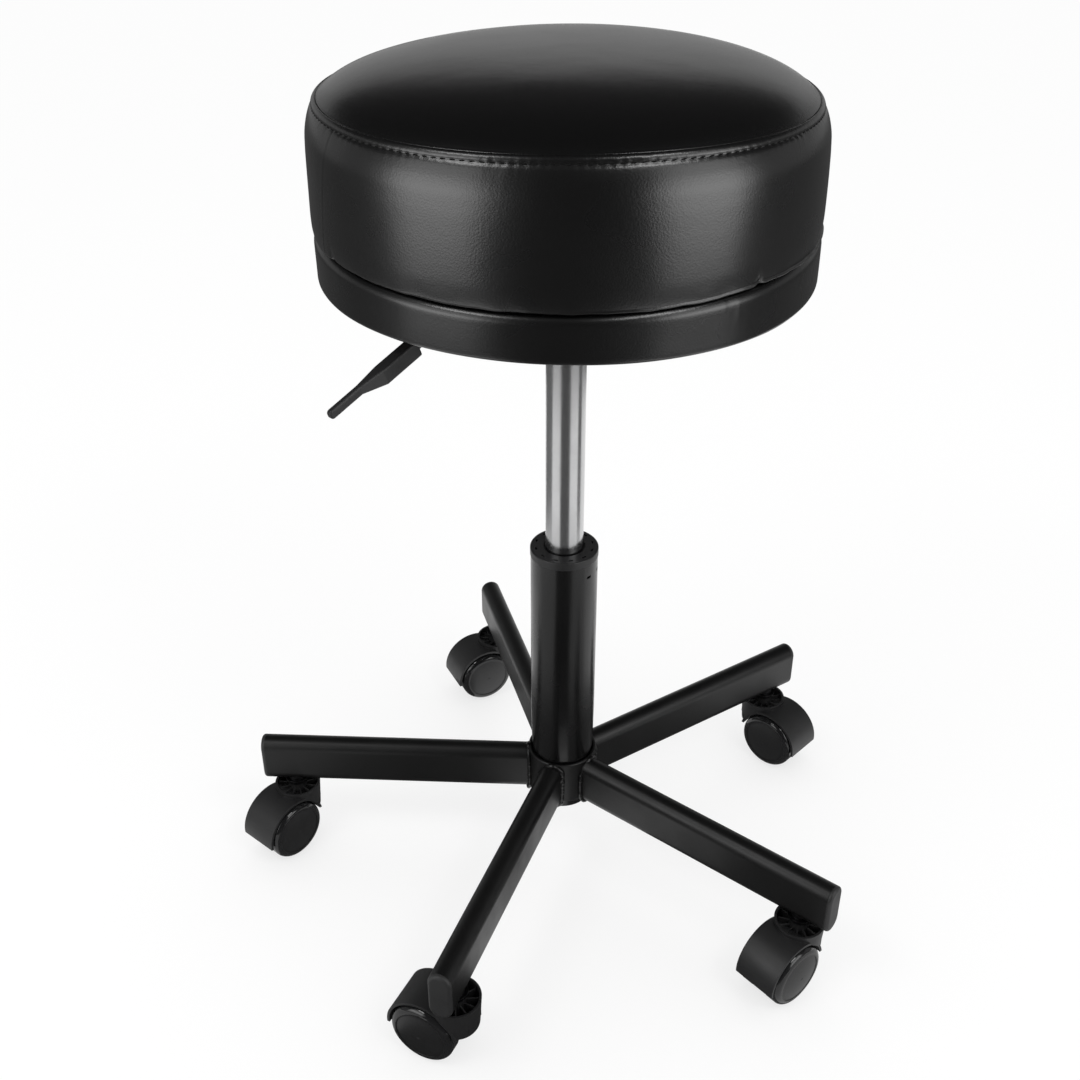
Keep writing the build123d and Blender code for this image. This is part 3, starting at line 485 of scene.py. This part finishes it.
def wheel_plastic(name, centre, axle):
    """Black nylon wheel: glossy shoulder and tread, matte face with faint turned rings."""
    face_radius, face_blend, ring_pitch = 20.2 * mm, 0.4 * mm, 1.3 * mm
    material, tree, shader = new_material(name, (0.011, 0.011, 0.0115), 0.16, level=0.6)
    coords = add_node(tree, "ShaderNodeTexCoord")
    offset = add_node(tree, "ShaderNodeVectorMath", {1: centre}, operation="SUBTRACT")
    tree.links.new(coords.outputs["Object"], offset.inputs[0])
    along = add_node(tree, "ShaderNodeVectorMath", {1: axle}, operation="DOT_PRODUCT")
    tree.links.new(offset.outputs["Vector"], along.inputs[0])
    whole = add_node(tree, "ShaderNodeVectorMath", operation="LENGTH")
    tree.links.new(offset.outputs["Vector"], whole.inputs[0])
    squares = [
        math_node(tree, "MULTIPLY", made.outputs["Value"], made.outputs["Value"])
        for made in (whole, along)
    ]
    distance = math_node(tree, "SQRT", math_node(tree, "SUBTRACT", *squares))
    face = spread(tree, distance, 1.0, 0.0, face_radius, face_radius + face_blend)
    ring = math_node(tree, "SINE", math_node(tree, "MULTIPLY", distance, 2 * pi / ring_pitch))
    faint = math_node(tree, "MULTIPLY", ring, face)
    edges = rounded_edges(tree, 0.4 * mm)
    first = bump(tree, shader, faint, 0.012 * mm, before=edges)
    spark = noise_at(tree, place(tree), 1800.0)
    bump(tree, shader, spark, 0.012 * mm, before=first)
    tree.links.new(spread(tree, face, 0.09, 0.42, 0.0, 1.0), shader.inputs["Roughness"])
    return material


def paint(material, *names):
    """Give CAD nodes a material."""
    for name in names:
        piece = nodes[name]
        piece.data.materials.clear()
        piece.data.materials.append(material)


seat_vinyl = vinyl("seat_vinyl_black")
band_vinyl = vinyl("band_vinyl_black", grain=0.12 * mm, level=0.9)
black_thread = thread("black_thread")
black_steel = powder_coat("black_powder_coat", 0.24)
leg_coat = powder_coat("satin_powder_coat", 0.40)
weld_coat = powder_coat("weld_powder_coat", 0.28)
# Painted shade: this metal is made dark to stand in for the shade inside the turret wells, where
# the stems, sockets and grip rings sit
painted_shade_steel = bare_metal("painted_shade_dark_steel", (0.045, 0.045, 0.047), 0.36)
staple_wire = bare_metal("staple_wire", (0.62, 0.62, 0.63), 0.3)
plated_steel = bare_metal("plated_steel", (0.52, 0.52, 0.53), 0.32)
light_alloy = bare_metal("light_alloy", (0.70, 0.70, 0.71), 0.28)
cap_plastic = moulded("end_cap_plastic", (0.020, 0.020, 0.0205), 0.5)
bushing_plastic = moulded("bushing_plastic", (0.013, 0.013, 0.0135), 0.4)
hood_plastic = moulded("hood_plastic", (0.015, 0.015, 0.0155), 0.44)
lever_plastic = moulded("lever_plastic", (0.016, 0.016, 0.0165), 0.33, round_over=1.4 * mm)
cage_plastic = moulded("cage_plastic", (0.72, 0.71, 0.67), 0.5)

leg_names = [f"leg_{k + 1}" for k in range(leg_count)]
paint(bright_tube("bright_drawn_steel"), "gas_cylinder")
paint(black_steel, "outer_column")
paint(leg_coat, "hub", *leg_names)
# The parts in the turret wells get the dark metal that paints the wells' shade into their colour
paint(painted_shade_steel, "caster_stems", "stem_sockets", "grip_rings")
paint(powder_coat("black_coated_rod", 0.3), "lever_rod")
paint(
    plated_steel,
    "column_base", "lower_race", "upper_race", "bearing_balls", "piston_rod", "rod_washer",
    "retaining_clip", "lever_pin", "release_pin",
    "mount_screws", "tee_nuts", *[f"axle_{k + 1}" for k in range(leg_count)],
)
paint(powder_coat("black_plate_paint", 0.42), "seat_mount_plate")
paint(light_alloy, "piston_head", "rod_guide", "valve_body")
paint(cap_plastic, "leg_end_caps")
paint(bushing_plastic, "guide_bushing")
paint(hood_plastic, *[f"hood_{k + 1}" for k in range(leg_count)])
paint(lever_plastic, "lever_paddle")
paint(cage_plastic, "ball_cage")
paint(rubber("bumper_rubber"), "rubber_bumper")
paint(plywood("birch_plywood"), "seat_board")

joint_of = {joint["name"]: joint for joint in frame["joints"]}
for k in range(leg_count):
    for side in ("left", "right"):
        roll = joint_of[f"wheel_{k + 1}_{side}_roll"]
        finish = wheel_plastic(f"wheel_plastic_{k + 1}_{side}", roll["pos_m"], roll["axis"])
        paint(finish, f"wheel_{k + 1}_{side}")


# Cushion
def eased(table, where):
    """A value read from (place, value) pairs, eased between neighbours."""
    for (a, low), (b, high) in zip(table, table[1:]):
        if where <= b:
            share = clamp((where - a) / (b - a))
            return low + (high - low) * (1 - cos(pi * share)) / 2
    return table[-1][1]


def wave_terms(table, count):
    """The first terms of a closed curve through a table of (angle in degrees, value)."""
    steps = 360
    turns = [2 * pi * i / steps for i in range(steps)]
    values = [eased(table, (a * 180 / pi + 180) % 360 - 180) for a in turns]
    terms = [(0, sum(values) / steps, 0.0)]
    for n in range(1, count + 1):
        along = 2 * sum(v * cos(n * a) for v, a in zip(values, turns)) / steps
        across = 2 * sum(v * sin(n * a) for v, a in zip(values, turns)) / steps
        terms.append((n, along, across))
    return terms


def wave_at(terms, angle):
    """The closed curve's value at an angle."""
    return sum(a * cos(n * angle) + b * sin(n * angle) for n, a, b in terms)


rim_waves, drop_waves, overhang_waves = (
    wave_terms(table, wave_count) for table in (rim_lift, edge_drop, band_overhang)
)


def curve_through(points, count):
    """A smooth curve through points, by Catmull and Rom's rule."""
    ends = [points[0], *points, points[-1]]
    curve = []
    for i in range(len(points) - 1):
        p0, p1, p2, p3 = (Vector(p) for p in ends[i : i + 4])
        for k in range(count):
            t = k / count
            curve.append(tuple(
                0.5 * (2 * p1 + (p2 - p0) * t + (2 * p0 - 5 * p1 + 4 * p2 - p3) * t**2
                       + (3 * p1 - p0 - 3 * p2 + p3) * t**3)
            ))
    curve.append(points[-1])
    return curve


def off_seam(inward, up):
    """(radius, height) of a point given from the seam."""
    return seam_radius - inward, seam_height + up


def cushion_rows():
    """(radius, height, tag) of the profile from the hidden pocket to the crown's middle."""
    side = [(r * mm, cushion_bottom + z * mm) for z, r in side_outline]
    foot_radius, foot_height = side[0]
    tuck = arc_points(
        (foot_radius - tuck_depth, cushion_bottom),
        (foot_radius - tuck_middle_in, cushion_bottom + tuck_middle_up),
        (foot_radius, foot_height),
        tuck_steps,
    )
    rows = [(board_radius + pocket_gap, cushion_bottom, "under")]
    rows += [(r, z, "tuck") for r, z in tuck]
    rows += [(r, z, "side") for r, z in curve_through(side, side_steps)[1:]]
    welt_middle_height = (stitch_height + seam_height) / 2 + welt_middle_up
    welt = arc_points(
        (stitch_radius, stitch_height),
        (stitch_radius - welt_middle_in, welt_middle_height),
        off_seam(*welt_top),
        welt_steps,
    )
    rows += [(r, z, "welt") for r, z in welt[1:]]
    rows += [(*off_seam(*point), "groove") for point in groove]
    edge = off_seam(*crown_edge)
    roll = arc_points(off_seam(*roll_foot), off_seam(*roll_middle), edge, roll_steps)
    rows += [(r, z, "crown") for r, z in roll[:-1]]
    crown = bezier_points(
        edge,
        (seam_radius * crown_edge_share, edge[1] + crown_height * crown_rise_share),
        (seam_radius * crown_flat_share, edge[1] + crown_height),
        (0, edge[1] + crown_height),
        crown_steps,
    )
    rows += [(r, z, "crown") for r, z in crown[:-1]]
    return rows


def stitch_phase(angle):
    """1 at the middle of each stitch, 0 half way between two."""
    return (1 + cos(2 * pi * angle / stitch_pitch)) / 2


def boxing_seam_at(height):
    """The slanted seam's angle at a height."""
    share = (stitch_height - height) / (stitch_height - cushion_bottom)
    return boxing_seam_top + (boxing_seam_foot - boxing_seam_top) * share


def cushion_shape(radius, height, tag, angle):
    """Small unevenness of the sewn cover at one point of the profile."""
    if tag == "under":
        return radius, height
    lift = wave_at(rim_waves, angle) * mm
    rise = clamp((height - cushion_bottom) / (stitch_height - cushion_bottom))
    below = stitch_height - height
    # Long soft waves of the side, and the lower edge, which wanders and has a few dents
    if tag in ("tuck", "side"):
        radius += side_wave * ring_noise(angle, 2.2, 0.7 + rise * 0.8) * sin(pi * rise)
        low = bump_at(height - cushion_bottom, edge_reach)
        wander = ring_noise(angle, 5.0, 4.1) + 0.6 * ring_noise(angle, 17.0, 8.3)
        height += edge_wander * wander * low
        height -= wave_at(drop_waves, angle) * mm * low
        radius += edge_wave * ring_noise(angle, 9.0, 2.9) * low
        for dent, depth in lower_dents:
            near = bump_at(angle_gap(angle, dent) * belly_radius, dent_reach) * low
            radius -= depth * mm * near
            height += depth * mm * dent_lift_share * near
    if tag == "side":
        # Folds that run down from the stitches, in groups
        group = clamp(0.35 + ring_noise(angle, 3.1, 2.2))
        pull = ring_noise(angle, 44.0, 1.3) * exp(-max(0.0, below) / fold_reach)
        radius += fold_depth * pull * group
        # The slanted seam: a narrow step
        across = (angle - boxing_seam_at(height) + pi) % (2 * pi) - pi
        across *= radius
        radius -= seam_step_depth * bump_at(across, seam_step_reach)
        radius += seam_ridge * bump_at(across + seam_ridge_away, seam_ridge_reach)
    if tag in ("side", "welt"):
        # The stitches pull the cover in, and it puffs out between them
        hole = stitch_phase(angle)
        between = 1 - hole
        uneven = 0.8 + 0.35 * ring_noise(angle, 60.0, 5.5)
        gathered = sum(bump_at(angle_gap(angle, middle), width) for middle, width in gathers)
        radius -= (thread_pull + hole_pull * hole * uneven) * mm * bump_at(below, pull_reach)
        above = height - stitch_height
        if above > 0:
            crumple = (crumple_least + crumple_gathered * gathered) * ring_noise(angle, 52.0, 6.5)
            puff = puff_over * between * uneven + crumple
            radius += puff * mm * bump_at(above - puff_over_away, puff_over_reach)
        else:
            puff = puff_under * between * uneven
            radius += puff * mm * bump_at(below - puff_under_away, puff_under_reach)
    if tag == "crown":
        share = radius / seam_radius
        x, y = radius * cos(angle), radius * sin(angle)
        swell = noise.noise(Vector((x * 14, y * 14, 9.5)))
        swell += 0.4 * noise.noise(Vector((x * 38, y * 38, 3.5)))
        height += crown_swell * swell * (1 - bump_at(seam_radius - radius, crown_calm_edge))
        height += lift * share * share
        lean = share * share * share
    else:
        height += lift * rise * rise
        lean = 1.0
    if tag != "tuck":
        radius += cushion_shift * cos(angle) * lean
    return radius, height


def make_cushion():
    """The cushion's cover, closed over the crown and inside the hidden pocket."""
    rows = cushion_rows()
    points, faces = revolve_grid(rows, cushion_columns, cushion_shape)
    top = len(points)
    points.append((0, 0, rows[-1][1]))
    bottom = len(points)
    points.append((0, 0, cushion_bottom + pocket_depth))
    last = (len(rows) - 1) * cushion_columns
    for column in range(cushion_columns):
        after = (column + 1) % cushion_columns
        faces.append((last + column, last + after, top))
        faces.append((after, column, bottom))
    piece = new_mesh("cushion_cover", points, faces, "seat", seat_vinyl)
    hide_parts("seat_cushion")


def add_bar(points, faces, centre, along, outward, length, thickness):
    """Adds one stitch or staple: a small tapered bar along a row."""
    start = len(points)
    up = along.cross(outward).normalized()
    for share, width in bar_sections:
        for turn in range(bar_sides):
            angle = turn * 2 * pi / bar_sides
            offset = (up * cos(angle) + outward * sin(angle)) * thickness / 2 * width
            points.append(centre + along * (share * length) + offset)
    faces += quad_rows(len(bar_sections), bar_sides, start)
    end = start + (len(bar_sections) - 1) * bar_sides
    faces.append(tuple(start + turn for turn in reversed(range(bar_sides))))
    faces.append(tuple(end + turn for turn in range(bar_sides)))


def make_stitches():
    """The row of stitches under the rim of the cushion."""
    points, faces = [], []
    for index in range(stitch_count):
        angle = stitch_pitch * index
        radius, height = cushion_shape(stitch_radius, stitch_height, "welt", angle)
        outward = Vector((cos(angle), sin(angle), 0))
        along = Vector((-sin(angle), cos(angle), 0.06 + 0.08 * ring_noise(angle, 40.0, 3.3)))
        centre = outward * (radius + stitch_stand) + Vector((0, 0, height))
        along.normalize()
        add_bar(points, faces, centre, along, outward, stitch_length, stitch_thickness)
    new_mesh("rim_stitches", points, faces, "seat", black_thread)


def band_rows():
    """Profile of the band from its inner lower corner, round the outside, to the inner top."""
    outer = belly_radius
    inner = outer - band_thickness
    top, bottom = band_high.z, band_low.z
    lower, upper, inside = band_lower_round, band_upper_round, band_inner_round
    rows = [(inner, top - inside, "inside"), (inner, bottom + inside, "inside")]
    rows += [
        (inner + inside * (1 - cos(a)), bottom + inside * (1 - sin(a)), "under")
        for a in (0.0, pi / 4, pi / 2)
    ]
    rows += [(inner + (outer - inner) * s, bottom, "under") for s in (0.3, 0.6)]
    for i in range(6):
        a = pi / 2 * i / 5
        rows.append((outer - lower + lower * sin(a), bottom + lower - lower * cos(a), "side"))
    for i in range(1, band_side_rows):
        share = i / band_side_rows
        rows.append((outer, bottom + lower + (top - upper - bottom - lower) * share, "side"))
    for i in range(9):
        a = pi / 2 * i / 8
        rows.append((outer - upper + upper * cos(a), top - upper + upper * sin(a), "top"))
    rows += [(outer - upper - (outer - upper - inner) * s, top, "top") for s in (0.3, 0.7)]
    rows.append((inner + 0.3 * mm, top, "top"))
    return rows


def band_shape(radius, height, tag, angle):
    """Small unevenness of the wrapped band."""
    outside = clamp((radius - belly_radius + outer_start) / outer_reach)
    start_height = height
    rise = (start_height - band_low.z) / (band_high.z - band_low.z)
    height -= (wave_at(drop_waves, angle) + band_edge_drop) * mm * clamp(rise) ** 2
    height -= wave_at(overhang_waves, angle) * mm * max(0.0, 1 - rise) * outside
    if tag in ("side", "top"):
        radius += band_wave * ring_noise(angle, 4.0, 11.0 + height * 30) * outside
        radius -= band_inset * outside
        for index, crease in enumerate(band_crease_angles):
            lean = (height - band_low.z) * crease_lean * (-1) ** index
            across = angle_gap(angle, crease) * belly_radius + lean
            near_top = bump_at(band_high.z - start_height - crease_below_top, crease_height)
            radius -= crease_depth * bump_at(across, crease_reach) * outside * near_top
            ridge = crease_ridge * bump_at(across - crease_ridge_away, crease_ridge_reach)
            radius += ridge * outside * near_top
    radius += band_shift * cos(angle) * outside
    return radius, height


def make_band():
    """The wrapped band, a closed ring."""
    rows = band_rows()
    points, faces = revolve_grid(rows, band_columns, band_shape)
    last = (len(rows) - 1) * band_columns
    for column in range(band_columns):
        after = (column + 1) % band_columns
        faces.append((last + column, last + after, after, column))
    piece = new_mesh("band_cover", points, faces, "seat", band_vinyl)
    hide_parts("seat_band")


def make_dust_cover():
    """Thin cloth disc stapled to the underside of the board."""
    radius = cover_high.x
    middle = (cover_low.z + cover_high.z) / 2
    points, faces = [(0, 0, middle)], []
    for ring in range(1, cover_rings + 1):
        r = radius * ring / cover_rings
        free = clamp((r - sag_start) / sag_start_reach) * clamp((radius - r) / sag_end_reach)
        for column in range(cover_columns):
            angle = 2 * pi * column / cover_columns
            sag = cover_sag * (1 + ring_noise(angle, 9.0, 7.7)) * free
            points.append((r * cos(angle), r * sin(angle), middle - sag))
    for column in range(cover_columns):
        faces.append((0, 1 + (column + 1) % cover_columns, 1 + column))
    faces += quad_rows(cover_rings, cover_columns, 1)
    piece = new_mesh(
        "dust_cover_cloth", points, faces, "seat", cover_cloth("black_cover_cloth")
    )
    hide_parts("dust_cover")


def make_staples():
    """Wire staples that hold the dust cover's edge to the board."""
    points, faces = [], []
    ring = cover_high.x - staple_inset
    down = Vector((0, 0, -1))
    for index in range(staple_count):
        angle = 2 * pi * (index + 0.25 * ring_noise(index * 1.0, 3.0, 6.1)) / staple_count
        outward = Vector((cos(angle), sin(angle), 0))
        slant = 0.25 * ring_noise(index * 2.1, 3.0, 2.6)
        along = Vector((-sin(angle + slant), cos(angle + slant), 0))
        centre = outward * ring + Vector((0, 0, cover_low.z - 0.1 * mm))
        add_bar(points, faces, centre, along, down, staple_length, staple_wire_size)
    new_mesh("dust_cover_staples", points, faces, "seat", staple_wire)


# Weld beads where the legs meet the hub
def leg_outline(share):
    """(across, height) on a leg's outline at a share of the way round, from its top."""
    half, radius = (leg_height - leg_width) / 2, leg_width / 2
    straight, bend = 2 * half, pi * radius
    whole = 2 * (straight + bend)
    run = share * whole
    if run < bend:
        a = pi / 2 - run / radius
        return radius * cos(a), half + radius * sin(a)
    run -= bend
    if run < straight:
        return radius, half - run
    run -= straight
    if run < bend:
        a = -run / radius
        return radius * cos(a), -half + radius * sin(a)
    run -= bend
    return -radius, -half + run


def make_weld_beads():
    """One uneven bead round each leg, in the corner with the hub."""
    hub_radius = hub_high.x
    leg_low, leg_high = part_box("leg_1")
    centre_height = (leg_low.z + leg_high.z) / 2
    for leg in range(leg_count):
        turn = pi + 2 * pi * leg / leg_count
        points = []
        for step in range(bead_steps):
            share = step / bead_steps
            before = leg_outline((share - outline_step) % 1)
            after = leg_outline((share + outline_step) % 1)
            y, z = leg_outline(share)
            on_hub = min(centre_height + z, hub_high.z)
            x = sqrt(hub_radius**2 - y * y)
            tangent = Vector((0, after[0] - before[0], after[1] - before[1])).normalized()
            away = Vector((0, tangent.z, -tangent.y))
            if away.y * y + away.z * z < 0:
                away = -away
            out = Vector((x, y, 0)).normalized()
            lump = noise.noise(Vector((step * 0.31, leg * 3.1, 0)))
            fine = noise.noise(Vector((step * 0.9, leg * 5.7, 2.0)))
            drift = bead_drift * noise.noise(Vector((step * 0.2, leg * 7.3, 5.0)))
            size = bead_size * (1 + bead_lump * lump + bead_ripple * fine)
            centre = Vector((x, y, on_hub)) + out * bead_stand + away * drift
            for side in range(bead_sides):
                a = 2 * pi * side / bead_sides
                offset = out * cos(a) * bead_outward + away * sin(a) * bead_along
                points.append(centre + offset * size)
        spin = Matrix.Rotation(turn, 3, "Z")
        points = [spin @ p for p in points]
        faces = quad_rows(bead_steps, bead_sides, closed=True)
        new_mesh(f"weld_bead_{leg + 1}", points, faces, "base", weld_coat)


make_cushion()
make_stitches()
make_band()
make_dust_cover()
make_staples()
make_weld_beads()


# Stage: floor, reflection cards, lamps and camera. Flags, panels and lamps are placed by
# degrees from the camera's side, and the back walls by degrees from the side opposite
front, back = -93.6, 86.4
floor_half = 14.0
floor_glow_share = 0.7
world_light = 0.95
card_height = 1 * mm
# (name, first and last angle, inner and outer radius, strength)
floor_flags = (
    ("front_inner_flag", -27, 25, 0.16, 0.36, 0.05),
    ("front_flag", -23, 32, 0.36, 0.92, 0.11),
    ("front_middle_flag", -27, 21, 0.92, 1.12, 0.05),
    ("front_far_flag", -31, 44, 1.12, 8.0, 0.05),
    ("left_inner_flag", -150, -27, 0.06, 0.24, 0.12),
    ("right_inner_flag", 25, 150, 0.06, 0.24, 0.12),
    ("left_front_flag", -80, -27, 0.24, 0.50, 0.6),
    ("right_front_flag", 25, 80, 0.24, 0.50, 0.6),
    ("left_middle_flag", -84, -27, 0.92, 1.12, 0.15),
    ("right_middle_flag", 21, 82, 0.92, 1.12, 0.15),
    ("left_near_flag", -140, -76, 0.50, 0.92, 0.20),
    ("right_near_flag", 82, 108, 0.50, 0.92, 0.16),
    ("left_far_flag", -168, -84, 0.92, 1.12, 0.13),
    ("right_far_flag", 82, 168, 0.92, 1.12, 0.13),
    ("left_outer_flag", -168, -66, 1.12, 8.0, 0.11),
    ("right_outer_flag", 78, 168, 1.12, 8.0, 0.11),
)
panel_distance = 1.12
# (foot, head, share of the panel's strength), and (name, first and last angle, strength)
panel_bands = (
    (0.002, 0.14, 0.12), (0.14, 0.24, 0.45), (0.24, 0.38, 0.85), (0.38, 0.75, 1.35),
    (0.75, 1.2, 0.7),
)
side_panels = (("left_panel", -64, -30, 1.9), ("right_panel", 45, 76, 2.0))
# Strips beside the upper bands: (near edge, far edge, share)
soft_edge_foot = 0.38
soft_edge_steps = ((0, 3, 0.6), (3, 6, 0.3))
dome_radius = 6.0
dome_glow = 0.035
back_opening_half = 115
back_opening_top = 24.5
back_walls = (
    ("back_wall", -30, 30, 0.42),
    ("left_wall_1", 30, 50, 0.37), ("left_wall_2", 50, 80, 0.30), ("left_wall_3", 80, 115, 0.2),
    ("right_wall_1", -50, -30, 0.34), ("right_wall_2", -80, -50, 0.26),
    ("right_wall_3", -115, -80, 0.18),
)
lamp_distance, lamp_size, lamp_glow = 1.9, (0.7, 0.35), 6.0
lamp_target = Vector((0, 0, 0.3))
# (name, azimuth, elevation)
lamps = (("left_lamp", front - 48, 52), ("right_lamp", front + 50, 50))


def stage_mesh(name, points, faces, material):
    """A mesh object of the stage, which isn't part of the stool."""
    mesh = bpy.data.meshes.new(name)
    mesh.from_pydata(points, [], faces)
    mesh.materials.append(material)
    piece = add_object(name, mesh)
    return piece


def plain_glow(name, strength, sampled=False):
    """An even glow of one strength, where 1 is white."""
    material = bpy.data.materials.new(name)
    material.use_nodes = True
    tree = material.node_tree
    tree.nodes.clear()
    glow = add_node(tree, "ShaderNodeEmission", {"Strength": strength})
    output = add_node(tree, "ShaderNodeOutputMaterial")
    tree.links.new(glow.outputs["Emission"], output.inputs["Surface"])
    material.cycles.emission_sampling = "AUTO" if sampled else "NONE"
    return material


def seen_or_mirrored(tree):
    """1 for rays from the camera, from mirrors and through glass, and 0 for light on things."""
    rays = add_node(tree, "ShaderNodeLightPath").outputs
    first = math_node(tree, "MAXIMUM", rays["Is Camera Ray"], rays["Is Glossy Ray"])
    return math_node(tree, "MAXIMUM", first, rays["Is Transmission Ray"])


def make_floor():
    """A white floor that keeps a pale shadow."""
    material, tree, shader = new_material("pale_floor", (0.96, 0.96, 0.96), 0.95, level=0.0)
    glow = add_node(tree, "ShaderNodeEmission", {"Strength": 1.0})
    share = math_node(tree, "MULTIPLY", seen_or_mirrored(tree), floor_glow_share)
    both = add_node(tree, "ShaderNodeMixShader")
    output = next(n for n in tree.nodes if n.type == "OUTPUT_MATERIAL")
    tree.links.new(share, both.inputs["Fac"])
    tree.links.new(shader.outputs["BSDF"], both.inputs[1])
    tree.links.new(glow.outputs["Emission"], both.inputs[2])
    tree.links.new(both.outputs["Shader"], output.inputs["Surface"])
    material.cycles.emission_sampling = "NONE"
    corners = [(x * floor_half, y * floor_half, 0) for x, y in ((-1, -1), (1, -1), (1, 1), (-1, 1))]
    stage_mesh("floor", corners, [(0, 1, 2, 3)], material)


def sweep_card(name, sector, profile, strength, sampled=False, steps=24):
    """A card swept round the object, which only reflections see: `profile` is (radius, height)."""
    low_angle, high_angle = sector
    points, faces = [], []
    for i in range(steps + 1):
        a = radians(low_angle + (high_angle - low_angle) * i / steps)
        points += [(r * cos(a), r * sin(a), z) for r, z in profile]
    rows = len(profile)
    for i in range(steps):
        for j in range(rows - 1):
            a, b = i * rows + j, (i + 1) * rows + j
            faces.append((a, a + 1, b + 1, b))
    card = stage_mesh(name, points, faces, plain_glow(name + "_glow", strength, sampled))
    for rays in ("camera", "diffuse", "shadow", "transmission", "volume_scatter"):
        setattr(card, "visible_" + rays, False)


def dome_profile(radius, low, high, steps=12):
    """(radius, height) points of a dome between two elevations in degrees."""
    return [
        (radius * cos(radians(low + (high - low) * i / steps)),
         radius * sin(radians(low + (high - low) * i / steps)))
        for i in range(steps + 1)
    ]


def make_cards():
    """Black flags and white panels of the studio, as the photographed gloss shows them."""
    for name, low, high, inner, outer, strength in floor_flags:
        profile = [(inner, card_height), (outer, card_height)]
        sweep_card(name, (front + low, front + high), profile, strength)
    for name, low, high, strength in side_panels:
        for number, (foot, head, share) in enumerate(panel_bands, 1):
            profile = [(panel_distance, foot), (panel_distance, head)]
            parts = [(low, high, 1.0)]
            if foot >= soft_edge_foot:
                for near, far, level in soft_edge_steps:
                    parts += [(low - far, low - near, level), (high + near, high + far, level)]
            for part, (start, end, level) in enumerate(parts, 1):
                sweep_card(
                    f"{name}_{number}_{part}", (front + start, front + end), profile,
                    strength * share * level, sampled=number > 1, steps=24 if part == 1 else 3,
                )
    wall = dome_profile(dome_radius, 0, back_opening_top)
    sector = (back + back_opening_half, back + 360 - back_opening_half)
    sweep_card("dome_front", sector, wall, dome_glow, steps=60)
    for name, low, high, strength in back_walls:
        sweep_card(name, (back + low, back + high), wall, strength)
    cap = dome_profile(dome_radius, back_opening_top, 90)
    sweep_card("dome_top", (0, 360), cap, dome_glow, steps=60)


def make_lamp(name, azimuth, elevation):
    """A soft rectangular lamp that looks at the object."""
    light = bpy.data.lights.new(name, "AREA")
    light.shape = "RECTANGLE"
    light.size, light.size_y = lamp_size
    light.energy = pi * lamp_size[0] * lamp_size[1] * lamp_glow
    lamp = add_object(name, light)
    a, e = radians(azimuth), radians(elevation)
    away = Vector((cos(a) * cos(e), sin(a) * cos(e), sin(e)))
    lamp.location = lamp_target + lamp_distance * away
    lamp.rotation_euler = (lamp_target - lamp.location).to_track_quat("-Z", "Y").to_euler()


def make_world():
    """White where the camera or a mirror sees it, and plain soft light on everything."""
    world = bpy.data.worlds.new("studio")
    world.use_nodes = True
    tree = world.node_tree
    shade = tree.nodes["Background"]
    shade.inputs["Color"].default_value = (1, 1, 1, 1)
    strength = add_node(
        tree, "ShaderNodeMapRange",
        {"From Min": 0.0, "From Max": 1.0, "To Min": world_light, "To Max": 1.0},
    )
    tree.links.new(seen_or_mirrored(tree), strength.inputs["Value"])
    tree.links.new(strength.outputs["Result"], shade.inputs["Strength"])
    bpy.context.scene.world = world


def make_camera():
    """The photograph's camera: its place, its aim and the photograph's frame."""
    focal_pixels = 1308.9
    centre_x, centre_y = 515.85, 521.55
    place_at = Vector((0.01565, -0.81522, 0.8175))
    yaw, pitch, roll = radians(-3.6), radians(31.48), radians(-0.68)
    forward = Vector((sin(yaw) * cos(pitch), cos(yaw) * cos(pitch), -sin(pitch)))
    right = Vector((cos(yaw), -sin(yaw), 0))
    up = right.cross(forward)
    level_right = right * cos(roll) + up * sin(roll)
    level_up = up * cos(roll) - right * sin(roll)
    data = bpy.data.cameras.new("camera")
    data.sensor_width = 36.0
    data.lens = focal_pixels / image_side * data.sensor_width
    data.shift_x = (image_side / 2 - centre_x) / image_side
    data.shift_y = (centre_y - image_side / 2) / image_side
    data.clip_start, data.clip_end = 0.02, 60.0
    camera = add_object("camera", data)
    aim = Matrix((level_right, level_up, -forward)).transposed().to_4x4()
    camera.matrix_world = Matrix.Translation(place_at) @ aim
    bpy.context.scene.camera = camera


make_floor()
make_cards()
make_world()
for lamp in lamps:
    make_lamp(*lamp)
make_camera()
bpy.context.scene.view_settings.view_transform = "Standard"
